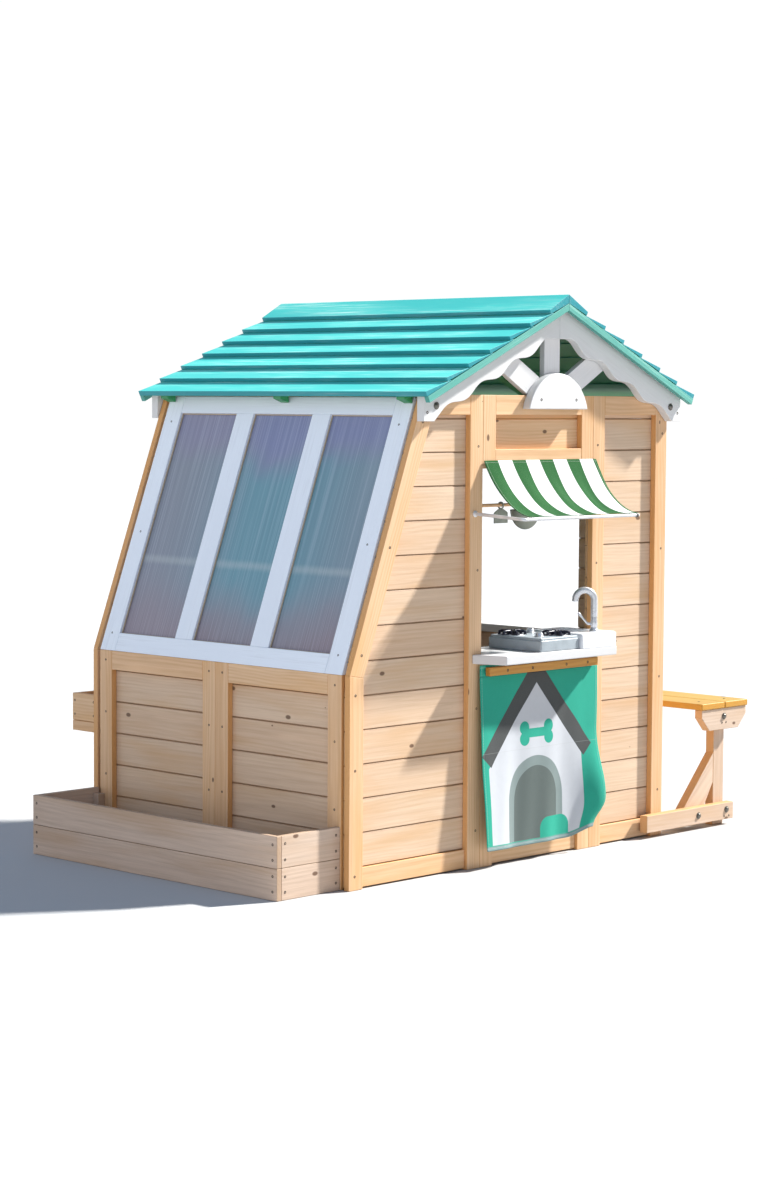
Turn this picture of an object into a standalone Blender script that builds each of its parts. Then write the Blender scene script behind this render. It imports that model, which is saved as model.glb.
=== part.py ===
"""Wooden garden playhouse with a greenhouse side, a play kitchen, a bench and planters.

House frame used while modelling: X runs along the kitchen wall from the greenhouse corner,
Y runs from the kitchen wall's outer face to the back wall, Z is up, and the ground is Z = 0.
At the end everything is shifted so that the origin is the middle of the footprint.
"""

import math

import bmesh
import bpy
from mathutils import Matrix, Vector

# ---------------------------------------------------------------- driving dimensions, metres
PLANK = 0.086  # pitch of the wall planks, the unit that most of the house follows
GAP = 0.0003  # clearance between pieces that rest on each other
OVER = 0.01  # how far cutting shapes reach past what they cut

WALL_W = 14.55 * PLANK  # kitchen wall, corner to corner
DEPTH = 11.46 * PLANK  # kitchen wall face to back wall face
WALL_H = 14.33 * PLANK  # top of the walls
FRAME_T = 0.017  # stiles and rails
WALL_T = 0.028  # stiles and rails with the planks behind them
STILE = 0.049
TOP_RAIL = 0.0515
RAIL_LIFT = 0.004  # the bottom rails clear the ground, the posts stand on it
PLANK_BASE = 0.053  # top of the bottom rails and lower edge of the first plank
RAIL_SET_BACK = 0.0085
GROOVE_W = 0.0036
GROOVE_D = 0.0022

KNEE = 6.25 * PLANK  # where the greenhouse wall starts to lean
LEAN = math.atan2(3.024, 8.117)  # angle of the greenhouse glazing from the vertical
PANE_DEPTH = 0.010  # behind the window frame's face
PANE_T = 0.004
BAY_START = 5.63 * PLANK  # kitchen bay and doorway, between the side panels
BAY_END = 10.82 * PLANK
HEADER_BOTTOM = 12.12 * PLANK

PITCH = math.radians(24.6)
RIDGE_X = 8.785 * PLANK
RIDGE_LINE = 17.33 * PLANK  # where the lines through the slats' lower edges meet
RIDGE_TOP = 17.42 * PLANK
SLATS = 7
SLAT_STEP = 1.003 * PLANK
SLAT_BUTT = 0.0115
SLAT_UNDER = 0.17 * PLANK
ROOF_OVERHANG = 0.663 * PLANK

COUNTER_TOP = 6.53 * PLANK
COUNTER_OUT = 1.05 * PLANK
SNACK_START = 3.40 * PLANK  # opening in the bench wall
SNACK_END = 8.06 * PLANK
SNACK_TOP = 12.4 * PLANK
SNACK_OUT = 0.85 * PLANK
SNACK_INSIDE = 0.03

PLANTER_OUT = 2.52 * PLANK
PLANTER_H = 1.85 * PLANK
BOARD_T = 0.0155
FLOWER_BOX_OUT = 1.17 * PLANK

SEAT_X = (16.22 * PLANK, 18.74 * PLANK)
SEAT_TOP = 4.18 * PLANK
SEAT_T = 0.018
SEAT_OVERHANG = 0.35 * PLANK
LEG_X = 17.62 * PLANK
BRACKET_T = 0.026

AWNING_TOP = 12.37 * PLANK
AWNING_OUT = 1.95 * PLANK
AWNING_BAR = 10.66 * PLANK
ROD_R = 0.0045

DOOR_TOP = 6.6 * PLANK
DOOR_T = 0.022
DOOR_CLEAR = 0.004  # beside the leaf
DOOR_LIFT = 0.012  # under it
DOOR_RECESS = 0.011  # depth of its panel
HINGE_R = 0.0055
HINGE_HALF = 0.02  # half the height of a hinge's barrel
HINGE_INSET = 0.10  # from the door's ends to its hinges
STRAP_L = 0.16
STRAP_HALF = 0.012
GRIP_R = 0.005
GRIP_OUT = 0.022
GRIP_SPAN = (0.15, 0.07)  # below the top of the door

STOVE_TOP = 6.95 * PLANK
BURNER_R = 0.031
SINK_TOP = 6.99 * PLANK
SINK_FLOOR = 0.007
BOX_BACK = 1.20 * PLANK  # the stove and the sink reach this far into the house
FAUCET = (10.23 * PLANK, -0.60 * PLANK)
FAUCET_TOP = 7.43 * PLANK
LEVER_Z = 7.22 * PLANK
LEVER_R = 0.0038
SPOUT_R = 0.0096
SPOUT_BEND = 0.30 * PLANK
SPOUT_SPRING = 7.976 * PLANK  # where the bend starts
SPOUT_WAY = math.radians(140)  # where it points at rest
CURTAIN_AXIS = (-0.012, 5.85 * PLANK)  # Y and Z
UTENSIL_AXIS = (0.014, 11.0 * PLANK)  # Y and Z
RAIL_R = 0.0045
RING_R = 0.0085
WIRE_R = 0.0022
BLADE_HALF = 0.0266
BLADE_LOW = 10.445 * PLANK
CUP_R = 0.040
CUP_LOW = 10.22 * PLANK
CUP_RIM = 10.83 * PLANK
CUP_WALL = 0.0026

FOOTPRINT = (
    (-PLANTER_OUT, SEAT_X[1]),
    (-AWNING_OUT - ROD_R, DEPTH + FLOWER_BOX_OUT),
)
CENTRE = Vector((sum(FOOTPRINT[0]) / 2, sum(FOOTPRINT[1]) / 2, 0.0))

# ---------------------------------------------------------------- materials
COLOURS = {
    "cedar": ((0.72, 0.52, 0.33), 0.6, 0.0),
    "cedar_planks": ((0.78, 0.60, 0.42), 0.65, 0.0),
    "seat_wood": ((0.80, 0.60, 0.26), 0.55, 0.0),
    "teal_roof": ((0.16, 0.60, 0.58), 0.55, 0.0),
    "green_frame": ((0.08, 0.30, 0.20), 0.6, 0.0),
    "white_paint": ((0.88, 0.89, 0.91), 0.45, 0.0),
    "frosted_pane": ((0.42, 0.50, 0.66), 0.35, 0.0),
    "stove_grey": ((0.45, 0.48, 0.50), 0.4, 0.0),
    "white_plastic": ((0.86, 0.87, 0.89), 0.35, 0.0),
    "awning_bar": ((0.80, 0.82, 0.84), 0.35, 0.3),
    "silver_plastic": ((0.62, 0.65, 0.68), 0.25, 0.6),
    "awning_cloth": ((0.12, 0.42, 0.16), 0.9, 0.0),
    "curtain_cloth": ((0.06, 0.46, 0.38), 0.9, 0.0),
    "utensil_grey": ((0.35, 0.38, 0.35), 0.4, 0.3),
    "hinge_steel": ((0.30, 0.30, 0.31), 0.35, 0.9),
}


def make_material(name):
    colour, roughness, metallic = COLOURS[name]
    material = bpy.data.materials.new(name)
    material.use_nodes = True
    shader = material.node_tree.nodes["Principled BSDF"]
    shader.inputs["Base Color"].default_value = (*colour, 1.0)
    shader.inputs["Roughness"].default_value = roughness
    shader.inputs["Metallic"].default_value = metallic
    return material


# ---------------------------------------------------------------- modelling helpers
def clear_scene():
    for obj in list(bpy.data.objects):
        bpy.data.objects.remove(obj, do_unlink=True)


def new_object(name, mesh, material=None, origin=(0.0, 0.0, 0.0)):
    """Adds the mesh, given in the house frame, as an object whose origin is the given point."""
    mesh.transform(Matrix.Translation(-Vector(origin)))
    if material:
        mesh.materials.append(MATERIALS[material])
    obj = bpy.data.objects.new(name, mesh)
    obj.location = Vector(origin) - CENTRE
    bpy.context.scene.collection.objects.link(obj)
    return obj


def spread(u, v, along, axis):
    """A point of an outline, (u, v), at a distance along the axis that it is extruded on."""
    return {"X": (along, u, v), "Y": (u, along, v), "Z": (u, v, along)}[axis]


def prism_mesh(name, outline, axis, start, end):
    """The outline, (Y, Z), (X, Z) or (X, Y) points, extruded along X, Y or Z."""
    mesh = bpy.data.meshes.new(name)
    shape = bmesh.new()
    face = shape.faces.new([shape.verts.new(spread(u, v, start, axis)) for u, v in outline])
    shift = Vector(spread(0.0, 0.0, end, axis)) - Vector(spread(0.0, 0.0, start, axis))
    grown = bmesh.ops.extrude_face_region(shape, geom=[face])
    moved = [item for item in grown["geom"] if isinstance(item, bmesh.types.BMVert)]
    bmesh.ops.translate(shape, verts=moved, vec=shift)
    bmesh.ops.recalc_face_normals(shape, faces=shape.faces)
    shape.to_mesh(mesh)
    shape.free()
    return mesh


def prism(name, outline, axis, start, end, material, origin=(0.0, 0.0, 0.0)):
    return new_object(name, prism_mesh(name, outline, axis, start, end), material, origin)


def block(name, low, high, material, origin=(0.0, 0.0, 0.0)):
    outline = [(low[0], low[1]), (high[0], low[1]), (high[0], high[1]), (low[0], high[1])]
    return prism(name, outline, "Z", low[2], high[2], material, origin)


def rectangle(u0, v0, u1, v1):
    return [(u0, v0), (u1, v0), (u1, v1), (u0, v1)]


def hide(obj):
    obj.hide_render = True
    obj.display_type = "WIRE"
    return obj


def combine(obj, other, operation):
    modifier = obj.modifiers.new(operation.title(), "BOOLEAN")
    modifier.operation = operation
    modifier.object = hide(other)


def cut(obj, outline, axis, start, end):
    """Takes the extruded outline away from the object."""
    combine(obj, prism(obj.name + "_cut", outline, axis, start, end, None), "DIFFERENCE")


def turned_mesh(name, profile, segments=24, centre=(0.0, 0.0)):
    """A solid of revolution about a vertical axis, from (radius, Z) points up its outer side."""
    mesh = bpy.data.meshes.new(name)
    shape = bmesh.new()
    rings = []
    for radius, z in profile:
        if radius == 0.0:
            rings.append([shape.verts.new((centre[0], centre[1], z))])
            continue
        turns = [2 * math.pi * i / segments for i in range(segments)]
        rings.append(
            [
                shape.verts.new((centre[0] + radius * math.cos(a), centre[1] + radius * math.sin(a), z))
                for a in turns
            ]
        )
    for low, high in zip(rings, rings[1:]):
        for i in range(segments):
            j = (i + 1) % segments
            if len(low) == 1:
                shape.faces.new((low[0], high[j], high[i]))
            elif len(high) == 1:
                shape.faces.new((low[i], low[j], high[0]))
            else:
                shape.faces.new((low[i], low[j], high[j], high[i]))
    bmesh.ops.recalc_face_normals(shape, faces=shape.faces)
    shape.to_mesh(mesh)
    shape.free()
    smooth(mesh)
    return mesh


def smooth(mesh, angle=35.0):
    mesh.shade_smooth()
    mesh.set_sharp_from_angle(angle=math.radians(angle))


def turned(name, profile, material, segments=24, centre=(0.0, 0.0), origin=(0.0, 0.0, 0.0)):
    return new_object(name, turned_mesh(name, profile, segments, centre), material, origin)


def tube_mesh(name, path, radius, sides=10, closed=False):
    """A round bar along a path of points, with flat ends, or joined into a ring."""
    mesh = bpy.data.meshes.new(name)
    shape = bmesh.new()
    points = [Vector(p) for p in path]
    count = len(points)
    rings = []
    side = None
    for i, point in enumerate(points):
        ahead = points[(i + 1) % count] if closed or i < count - 1 else point
        behind = points[i - 1] if closed or i > 0 else point
        tangent = (ahead - behind).normalized()
        if side is None:
            helper = Vector((0, 0, 1)) if abs(tangent.z) < 0.9 else Vector((1, 0, 0))
            side = tangent.cross(helper)
        side = (side - tangent * side.dot(tangent)).normalized()
        other = tangent.cross(side)
        turns = [2 * math.pi * k / sides for k in range(sides)]
        rings.append(
            [
                shape.verts.new(point + radius * (side * math.cos(a) + other * math.sin(a)))
                for a in turns
            ]
        )
    pairs = list(zip(rings, rings[1:])) + ([(rings[-1], rings[0])] if closed else [])
    for low, high in pairs:
        for k in range(sides):
            n = (k + 1) % sides
            shape.faces.new((low[k], low[n], high[n], high[k]))
    if not closed:
        shape.faces.new(rings[0])
        shape.faces.new(rings[-1])
    bmesh.ops.recalc_face_normals(shape, faces=shape.faces)
    shape.to_mesh(mesh)
    shape.free()
    smooth(mesh)
    return mesh


def tube(name, path, radius, material, sides=10, origin=(0.0, 0.0, 0.0), closed=False):
    mesh = tube_mesh(name, path, radius, sides, closed)
    return new_object(name, mesh, material, origin)


def arc(centre, radius, start, end, steps):
    """Points of an arc, in degrees."""
    turns = [math.radians(start + (end - start) * i / steps) for i in range(steps + 1)]
    return [(centre[0] + radius * math.cos(a), centre[1] + radius * math.sin(a)) for a in turns]


# ---------------------------------------------------------------- wall shapes
def lean_x(z):
    """X of the outer face of the leaning corner post at a height above the knee."""
    return max(0.0, (z - KNEE) * math.tan(LEAN))


def leaning_outline():
    """Outline of a side panel whose outer corner leans in above the knee."""
    top = (lean_x(WALL_H), WALL_H)
    return [(0.0, 0.0), (BAY_START, 0.0), (BAY_START, WALL_H), top, (0.0, KNEE)]


def leaning_hole():
    width = STILE / math.cos(LEAN)
    top = WALL_H - TOP_RAIL
    knee = KNEE + (STILE - width) / math.tan(LEAN)
    return [
        (STILE, PLANK_BASE),
        (BAY_START - STILE, PLANK_BASE),
        (BAY_START - STILE, top),
        (lean_x(top) + width, top),
        (STILE, knee),
    ]


def plank_profile(face, back, bottom, top):
    """Section of a plank wall across its thickness, with a V groove on both sides of each joint."""
    joints = []
    z = PLANK_BASE + PLANK
    while z < top - GROOVE_W:
        if z > bottom + GROOVE_W:
            joints.append(z)
        z += PLANK
    inward = math.copysign(GROOVE_D, back - face)
    front = [(face, bottom)]
    for z in joints:
        front += [(face, z - GROOVE_W / 2), (face + inward, z), (face, z + GROOVE_W / 2)]
    front.append((face, top))
    rear = [(back, top)]
    for z in reversed(joints):
        rear += [(back, z + GROOVE_W / 2), (back - inward, z), (back, z - GROOVE_W / 2)]
    rear.append((back, bottom))
    return front + rear


def notch_feet(frame, axis, stretches, face, into):
    """Lifts the bottom rails off the ground between the posts and sets them back from the face."""
    low, high = sorted((face - math.copysign(OVER, into), face + into))
    through = WALL_T + OVER
    for u0, u1 in stretches:
        cut(frame, rectangle(u0, -OVER, u1, RAIL_LIFT), axis, face - through, face + through)
        cut(frame, rectangle(u0, -OVER, u1, PLANK_BASE), axis, low, high)


def make_kitchen_wall():
    left = prism("kitchen_left_frame", leaning_outline(), "Y", 0.0, FRAME_T, "cedar")
    cut(left, leaning_hole(), "Y", -OVER, FRAME_T + OVER)
    notch_feet(left, "Y", [(STILE, BAY_START - STILE)], 0.0, RAIL_SET_BACK)

    boards = prism(
        "kitchen_left_planks",
        plank_profile(FRAME_T + GAP, WALL_T, RAIL_LIFT, WALL_H),
        "X",
        0.0,
        BAY_START,
        "cedar_planks",
    )
    above = WALL_H + OVER
    corner = [(-OVER, KNEE), (0.0, KNEE), (lean_x(above), above), (-OVER, above)]
    cut(boards, corner, "Y", 0.0, WALL_T + OVER)

    right = prism(
        "kitchen_right_frame",
        rectangle(BAY_END, 0.0, WALL_W, WALL_H),
        "Y",
        0.0,
        FRAME_T,
        "cedar",
    )
    hole = rectangle(BAY_END + STILE, PLANK_BASE, WALL_W - STILE, WALL_H - TOP_RAIL)
    cut(right, hole, "Y", -OVER, FRAME_T + OVER)
    notch_feet(right, "Y", [(BAY_END + STILE, WALL_W - STILE)], 0.0, RAIL_SET_BACK)
    prism(
        "kitchen_right_planks",
        plank_profile(FRAME_T + GAP, WALL_T, RAIL_LIFT, WALL_H),
        "X",
        BAY_END,
        WALL_W,
        "cedar_planks",
    )

    make_header("kitchen_header", 0.0, 1.0)

    base = prism(
        "kitchen_base_frame",
        rectangle(BAY_START + GAP, 0.0, BAY_END - GAP, KNEE - GAP),
        "Y",
        0.0,
        WALL_T,
        "cedar",
    )
    u0, u1 = BAY_START + STILE, BAY_END - STILE
    cut(base, rectangle(u0, PLANK_BASE, u1, KNEE - STILE), "Y", -OVER, WALL_T + OVER)
    notch_feet(base, "Y", [(u0, u1)], 0.0, RAIL_SET_BACK)


def make_header(name, face, into):
    """The short framed panel above an opening, with its planks recessed behind the frame."""
    low, high = sorted((face, face + into * WALL_T))
    header = prism(
        name,
        rectangle(BAY_START + GAP, HEADER_BOTTOM, BAY_END - GAP, WALL_H),
        "Y",
        low,
        high,
        "cedar",
    )
    recess = rectangle(
        BAY_START + STILE,
        HEADER_BOTTOM + STILE,
        BAY_END - STILE,
        WALL_H - TOP_RAIL,
    )
    low, high = sorted((face - into * OVER, face + into * FRAME_T))
    cut(header, recess, "Y", low, high)


def make_greenhouse_wall():
    start = WALL_T + GAP
    end = DEPTH - WALL_T - GAP
    middle = (start + end) / 2
    frame = prism(
        "greenhouse_frame", rectangle(start, 0.0, end, KNEE), "X", 0.0, FRAME_T, "cedar"
    )
    stretches = ((start + STILE, middle - STILE), (middle + STILE, end - STILE))
    for u0, u1 in stretches:
        hole = rectangle(u0, PLANK_BASE, u1, KNEE - TOP_RAIL)
        cut(frame, hole, "X", -OVER, FRAME_T + OVER)
    notch_feet(frame, "X", stretches, 0.0, RAIL_SET_BACK)
    prism(
        "greenhouse_planks",
        plank_profile(FRAME_T + GAP, WALL_T, RAIL_LIFT, KNEE),
        "Y",
        start,
        end,
        "cedar_planks",
    )


def on_glazing(along, depth):
    """(X, Z) of a point that lies along the leaning wall's outer face and a depth behind it."""
    x = along * math.sin(LEAN) + depth * math.cos(LEAN)
    z = KNEE + along * math.cos(LEAN) - depth * math.sin(LEAN)
    return x, z


def make_window():
    start = WALL_T + GAP
    end = DEPTH - WALL_T - GAP
    low = KNEE + GAP
    high = 14.25 * PLANK
    across = WALL_T / math.cos(LEAN)
    section = [
        (lean_x(low), low),
        (lean_x(low) + across, low),
        (lean_x(high) + across, high),
        (lean_x(high), high),
    ]
    frame = prism("window_frame", section, "Y", start, end, "white_paint")
    mullion = 0.78 * PLANK
    pane_w = 2.61 * PLANK
    side = (end - start - 3 * pane_w - 2 * mullion) / 2
    sill = 0.60 * PLANK
    head = 7.98 * PLANK
    outside, inside = -2 * OVER, WALL_T + 3 * OVER
    for i, place in enumerate(("front", "middle", "rear")):
        y0 = start + side + i * (pane_w + mullion)
        hole = [on_glazing(sill, outside), on_glazing(sill, inside)]
        hole += [on_glazing(head, inside), on_glazing(head, outside)]
        cut(frame, hole, "Y", y0, y0 + pane_w)
        pane = [on_glazing(sill + GAP, PANE_DEPTH), on_glazing(sill + GAP, PANE_DEPTH + PANE_T)]
        pane += [on_glazing(head - GAP, PANE_DEPTH + PANE_T), on_glazing(head - GAP, PANE_DEPTH)]
        prism("window_pane_" + place, pane, "Y", y0 + GAP, y0 + pane_w - GAP, "frosted_pane")


def make_bench_wall():
    start = WALL_T + GAP
    end = DEPTH - WALL_T - GAP
    face = WALL_W
    frame = prism(
        "bench_wall_frame", rectangle(start, 0.0, end, WALL_H), "X", face - FRAME_T, face, "cedar"
    )
    sides = ((start + STILE, SNACK_START - STILE), (SNACK_END + STILE, end - STILE))
    holes = [rectangle(u0, PLANK_BASE, u1, WALL_H - TOP_RAIL) for u0, u1 in sides]
    holes.append(rectangle(SNACK_START, PLANK_BASE, SNACK_END, KNEE - STILE))
    holes.append(rectangle(SNACK_START, KNEE, SNACK_END, SNACK_TOP))
    holes.append(rectangle(SNACK_START, SNACK_TOP + STILE, SNACK_END, WALL_H - TOP_RAIL))
    for hole in holes:
        cut(frame, hole, "X", face - FRAME_T - OVER, face + OVER)
    notch_feet(frame, "X", (*sides, (SNACK_START, SNACK_END)), face, -RAIL_SET_BACK)

    planks = prism(
        "bench_wall_planks",
        plank_profile(face - FRAME_T - GAP, face - WALL_T, RAIL_LIFT, WALL_H),
        "Y",
        start,
        end,
        "cedar_planks",
    )
    hole = rectangle(SNACK_START, KNEE, SNACK_END, SNACK_TOP)
    cut(planks, hole, "X", face - WALL_T - OVER, face)

    inner = face - WALL_T - SNACK_INSIDE
    outer = face + SNACK_OUT
    block(
        "snack_counter",
        (inner, SNACK_START + GAP, KNEE + GAP),
        (outer, SNACK_END - GAP, COUNTER_TOP),
        "white_paint",
    )


def make_back_wall():
    face = DEPTH
    left = prism("back_left_panel", leaning_outline(), "Y", face - WALL_T, face, "cedar")
    cut(left, leaning_hole(), "Y", face - FRAME_T, face + OVER)
    notch_feet(left, "Y", [(STILE, BAY_START - STILE)], face, -RAIL_SET_BACK)
    right = prism(
        "back_right_panel",
        rectangle(BAY_END, 0.0, WALL_W, WALL_H),
        "Y",
        face - WALL_T,
        face,
        "cedar",
    )
    hole = rectangle(BAY_END + STILE, PLANK_BASE, WALL_W - STILE, WALL_H - TOP_RAIL)
    cut(right, hole, "Y", face - FRAME_T, face + OVER)
    notch_feet(right, "Y", [(BAY_END + STILE, WALL_W - STILE)], face, -RAIL_SET_BACK)
    make_header("back_header", face, -1.0)
    make_door(face)


def make_door(face):
    """A half door that swings out on two strap hinges beside the bench corner."""
    x0 = BAY_START + DOOR_CLEAR
    x1 = BAY_END - DOOR_CLEAR
    outer = face - 0.001
    axis = (BAY_END - 0.002, face + HINGE_R + 0.0015, 0.0)
    leaf_outline = rectangle(x0, DOOR_LIFT, x1, DOOR_TOP)
    leaf = prism("door_leaf", leaf_outline, "Y", outer - DOOR_T, outer, "cedar", axis)
    panel = rectangle(x0 + STILE, DOOR_LIFT + STILE, x1 - STILE, DOOR_TOP - STILE)
    cut(leaf, panel, "Y", outer - DOOR_RECESS, outer + OVER)
    for place, z in (("lower", HINGE_INSET), ("upper", DOOR_TOP - HINGE_INSET)):
        low, high = z - HINGE_HALF, z + HINGE_HALF
        barrel = turned_mesh("barrel", [(0, low), (HINGE_R, low), (HINGE_R, high), (0, high)], 16, axis)
        hinge = new_object("door_hinge_" + place, barrel, "hinge_steel", axis)
        strap = rectangle(axis[0] - STRAP_L, z - STRAP_HALF, axis[0], z + STRAP_HALF)
        combine(hinge, prism("strap", strap, "Y", face - 0.0007, face + 0.0018, None), "UNION")
    x = x0 + STILE / 2
    near, far = outer + GAP, outer + GRIP_OUT
    low, high = (DOOR_TOP - drop for drop in GRIP_SPAN)
    grip = [(x, near, low), (x, far, low), (x, far, high), (x, near, high)]
    tube("door_handle", rounded(grip, 0.012), GRIP_R, "hinge_steel", 10, axis)


def rounded(points, radius, steps=4):
    """The path with each inner corner replaced by an arc-like curve of the given reach."""
    points = [Vector(p) for p in points]
    path = [points[0]]
    for before, corner, after in zip(points, points[1:], points[2:]):
        start = corner + (before - corner).normalized() * radius
        end = corner + (after - corner).normalized() * radius
        for i in range(steps + 1):
            t = i / steps
            path.append((1 - t) ** 2 * start + 2 * t * (1 - t) * corner + t**2 * end)
    path.append(points[-1])
    return path


# ---------------------------------------------------------------- roof
def on_roof(along, out, side):
    """(X, Z) at a distance down the slope from the ridge and out from the slats' edge line."""
    x = along * math.cos(PITCH) + out * math.sin(PITCH)
    z = RIDGE_LINE - along * math.sin(PITCH) + out * math.cos(PITCH)
    return RIDGE_X + side * x, z


def ridge_point(out, side, gap=0.0):
    """The point on the ridge plane where a line parallel to the slope meets it."""
    return RIDGE_X + side * gap, RIDGE_LINE + out / math.cos(PITCH)


def make_roof():
    y0 = -ROOF_OVERHANG
    y1 = DEPTH + 0.64 * PLANK
    for name, side in (("left", -1.0), ("right", 1.0)):
        top = [(RIDGE_X + side * GAP, RIDGE_TOP)]
        for i in range(1, SLATS + 1):
            top.append(on_roof(i * SLAT_STEP, 0.0, side))
            if i < SLATS:
                top.append(on_roof(i * SLAT_STEP, -SLAT_BUTT, side))
        under = [on_roof(SLATS * SLAT_STEP, -SLAT_UNDER, side)]
        under.append(ridge_point(-SLAT_UNDER, side, GAP))
        prism("roof_slats_" + name, top + under, "Y", y0, y1, "teal_roof")

    low = -SLAT_UNDER - GAP
    bargeboard_y = ((-0.30 * PLANK, -0.02 * PLANK), (DEPTH + 0.02 * PLANK, DEPTH + 0.30 * PLANK))
    rake_y = ((y0, y0 + 0.16 * PLANK), (y1 - 0.16 * PLANK, y1))
    for place, rake, barge in zip(("front", "back"), rake_y, bargeboard_y):
        make_rake_board("rake_board_" + place, low, rake)
        make_bargeboard("bargeboard_" + place, low, barge)
    make_roof_frame(low)


def make_rake_board(name, top, span):
    end = SLATS * SLAT_STEP - 0.002
    bottom = -0.37 * PLANK
    outline = [on_roof(end, top, -1.0), ridge_point(top, 0.0), on_roof(end, top, 1.0)]
    outline += [on_roof(end, bottom, 1.0), ridge_point(bottom, 0.0), on_roof(end, bottom, -1.0)]
    prism(name, outline, "Y", *span, "teal_roof")


def make_bargeboard(name, top, span):
    """Two scalloped boards that meet at the ridge; the waves repeat down the slope."""
    wave = 1.6 * PLANK
    first = 1.15 * PLANK
    last = 6.25 * PLANK
    steps = 32
    edge = []
    for i in range(steps + 1):
        along = first + (last - first) * i / steps
        phase = 2 * math.pi * (along - first) / wave
        edge.append((along, (-0.99 + 0.095 * math.cos(phase)) * PLANK))
    end_x = 6.08 * PLANK
    end_z = 13.54 * PLANK
    outline = []
    for side in (-1.0, 1.0):
        run = (end_x - top * math.sin(PITCH)) / math.cos(PITCH)
        half = [on_roof(run, top, side), (RIDGE_X + side * end_x, end_z)]
        half.append((RIDGE_X + side * (end_x - 0.45 * PLANK), end_z))
        half += [on_roof(along, out, side) for along, out in reversed(edge)]
        half.append((RIDGE_X + side * 0.55 * PLANK, 16.07 * PLANK))
        outline.append(half)
    left, right = outline
    prism(name, left + right[::-1] + [ridge_point(top, 0.0)], "Y", *span, "white_paint")


def make_roof_frame(top):
    """Three pairs of rafters with level-cut feet on the side walls, joined by a ridge beam."""
    depth = -0.52 * PLANK
    seat = WALL_H + GAP
    tail_start = 5.90 * PLANK  # just outside the side walls
    tail_low = 14.06 * PLANK
    end = 6.95 * PLANK
    run = (RIDGE_LINE + depth / math.cos(PITCH) - seat) / math.tan(PITCH)
    half = []
    for side in (-1.0, 1.0):
        tip = on_roof(end, top, side)
        tail = [tip, (tip[0], tip[1] - 0.10 * PLANK), (RIDGE_X + side * tail_start, tail_low)]
        half.append(tail + [(RIDGE_X + side * tail_start, seat), (RIDGE_X + side * run, seat)])
    outline = half[0] + [ridge_point(depth, 0.0)] + half[1][::-1] + [ridge_point(top, 0.0)]
    width = 0.33 * PLANK
    inside = (WALL_T + GAP, DEPTH - WALL_T - GAP)
    starts = (inside[0], (sum(inside) - width) / 2, inside[1] - width)
    frame = prism("roof_frame", outline, "Y", starts[0], starts[0] + width, "green_frame")
    for i, start in enumerate(starts[1:]):
        pair = prism("rafters_" + str(i), outline, "Y", start, start + width, None)
        combine(frame, pair, "UNION")
    beam = rectangle(RIDGE_X - width / 2, 16.15 * PLANK, RIDGE_X + width / 2, 16.9 * PLANK)
    combine(frame, prism("ridge_beam", beam, "Y", starts[0], starts[2] + width, None), "UNION")


def make_sunburst():
    """A part disc on the top rail with three boards fanning out behind it."""
    chord = 1.38 * PLANK
    rise = 1.10 * PLANK
    radius = (chord**2 + rise**2) / (2 * rise)
    bottom = 13.91 * PLANK
    centre = (RIDGE_X, bottom + rise - radius)
    reach = math.degrees(math.acos(chord / radius))
    disc = arc(centre, radius, reach, 180 - reach, 28)
    prism("sunburst_disc", disc, "Y", -0.30 * PLANK, -GAP, "white_paint")

    foot = WALL_H + GAP
    half = 0.365 * PLANK
    span = (0.0, 0.20 * PLANK)
    limit = ridge_point(-0.60 * PLANK, 0.0)[1]
    shoulder = limit - half * math.tan(PITCH)
    outline = [(RIDGE_X + half, foot), (RIDGE_X - half, foot), (RIDGE_X - half, shoulder)]
    outline += [(RIDGE_X, limit), (RIDGE_X + half, shoulder)]
    prism("spoke_centre", outline, "Y", *span, "white_paint")

    fan_z = 14.12 * PLANK
    slope = math.tan(math.radians(30))
    lift = half / math.cos(math.radians(30))
    near = half + GAP
    upper_run = (limit - fan_z - lift) / (slope + math.tan(PITCH))
    lower_run = (limit - fan_z + lift) / (slope + math.tan(PITCH))
    for name, side in (("left", -1.0), ("right", 1.0)):
        outline = [
            (RIDGE_X + side * near, foot),
            (RIDGE_X + side * near, fan_z + lift + near * slope),
            (RIDGE_X + side * upper_run, fan_z + lift + upper_run * slope),
            (RIDGE_X + side * lower_run, fan_z - lift + lower_run * slope),
            (RIDGE_X + side * (foot - fan_z + lift) / slope, foot),
        ]
        prism("spoke_" + name, outline, "Y", *span, "white_paint")


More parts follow.
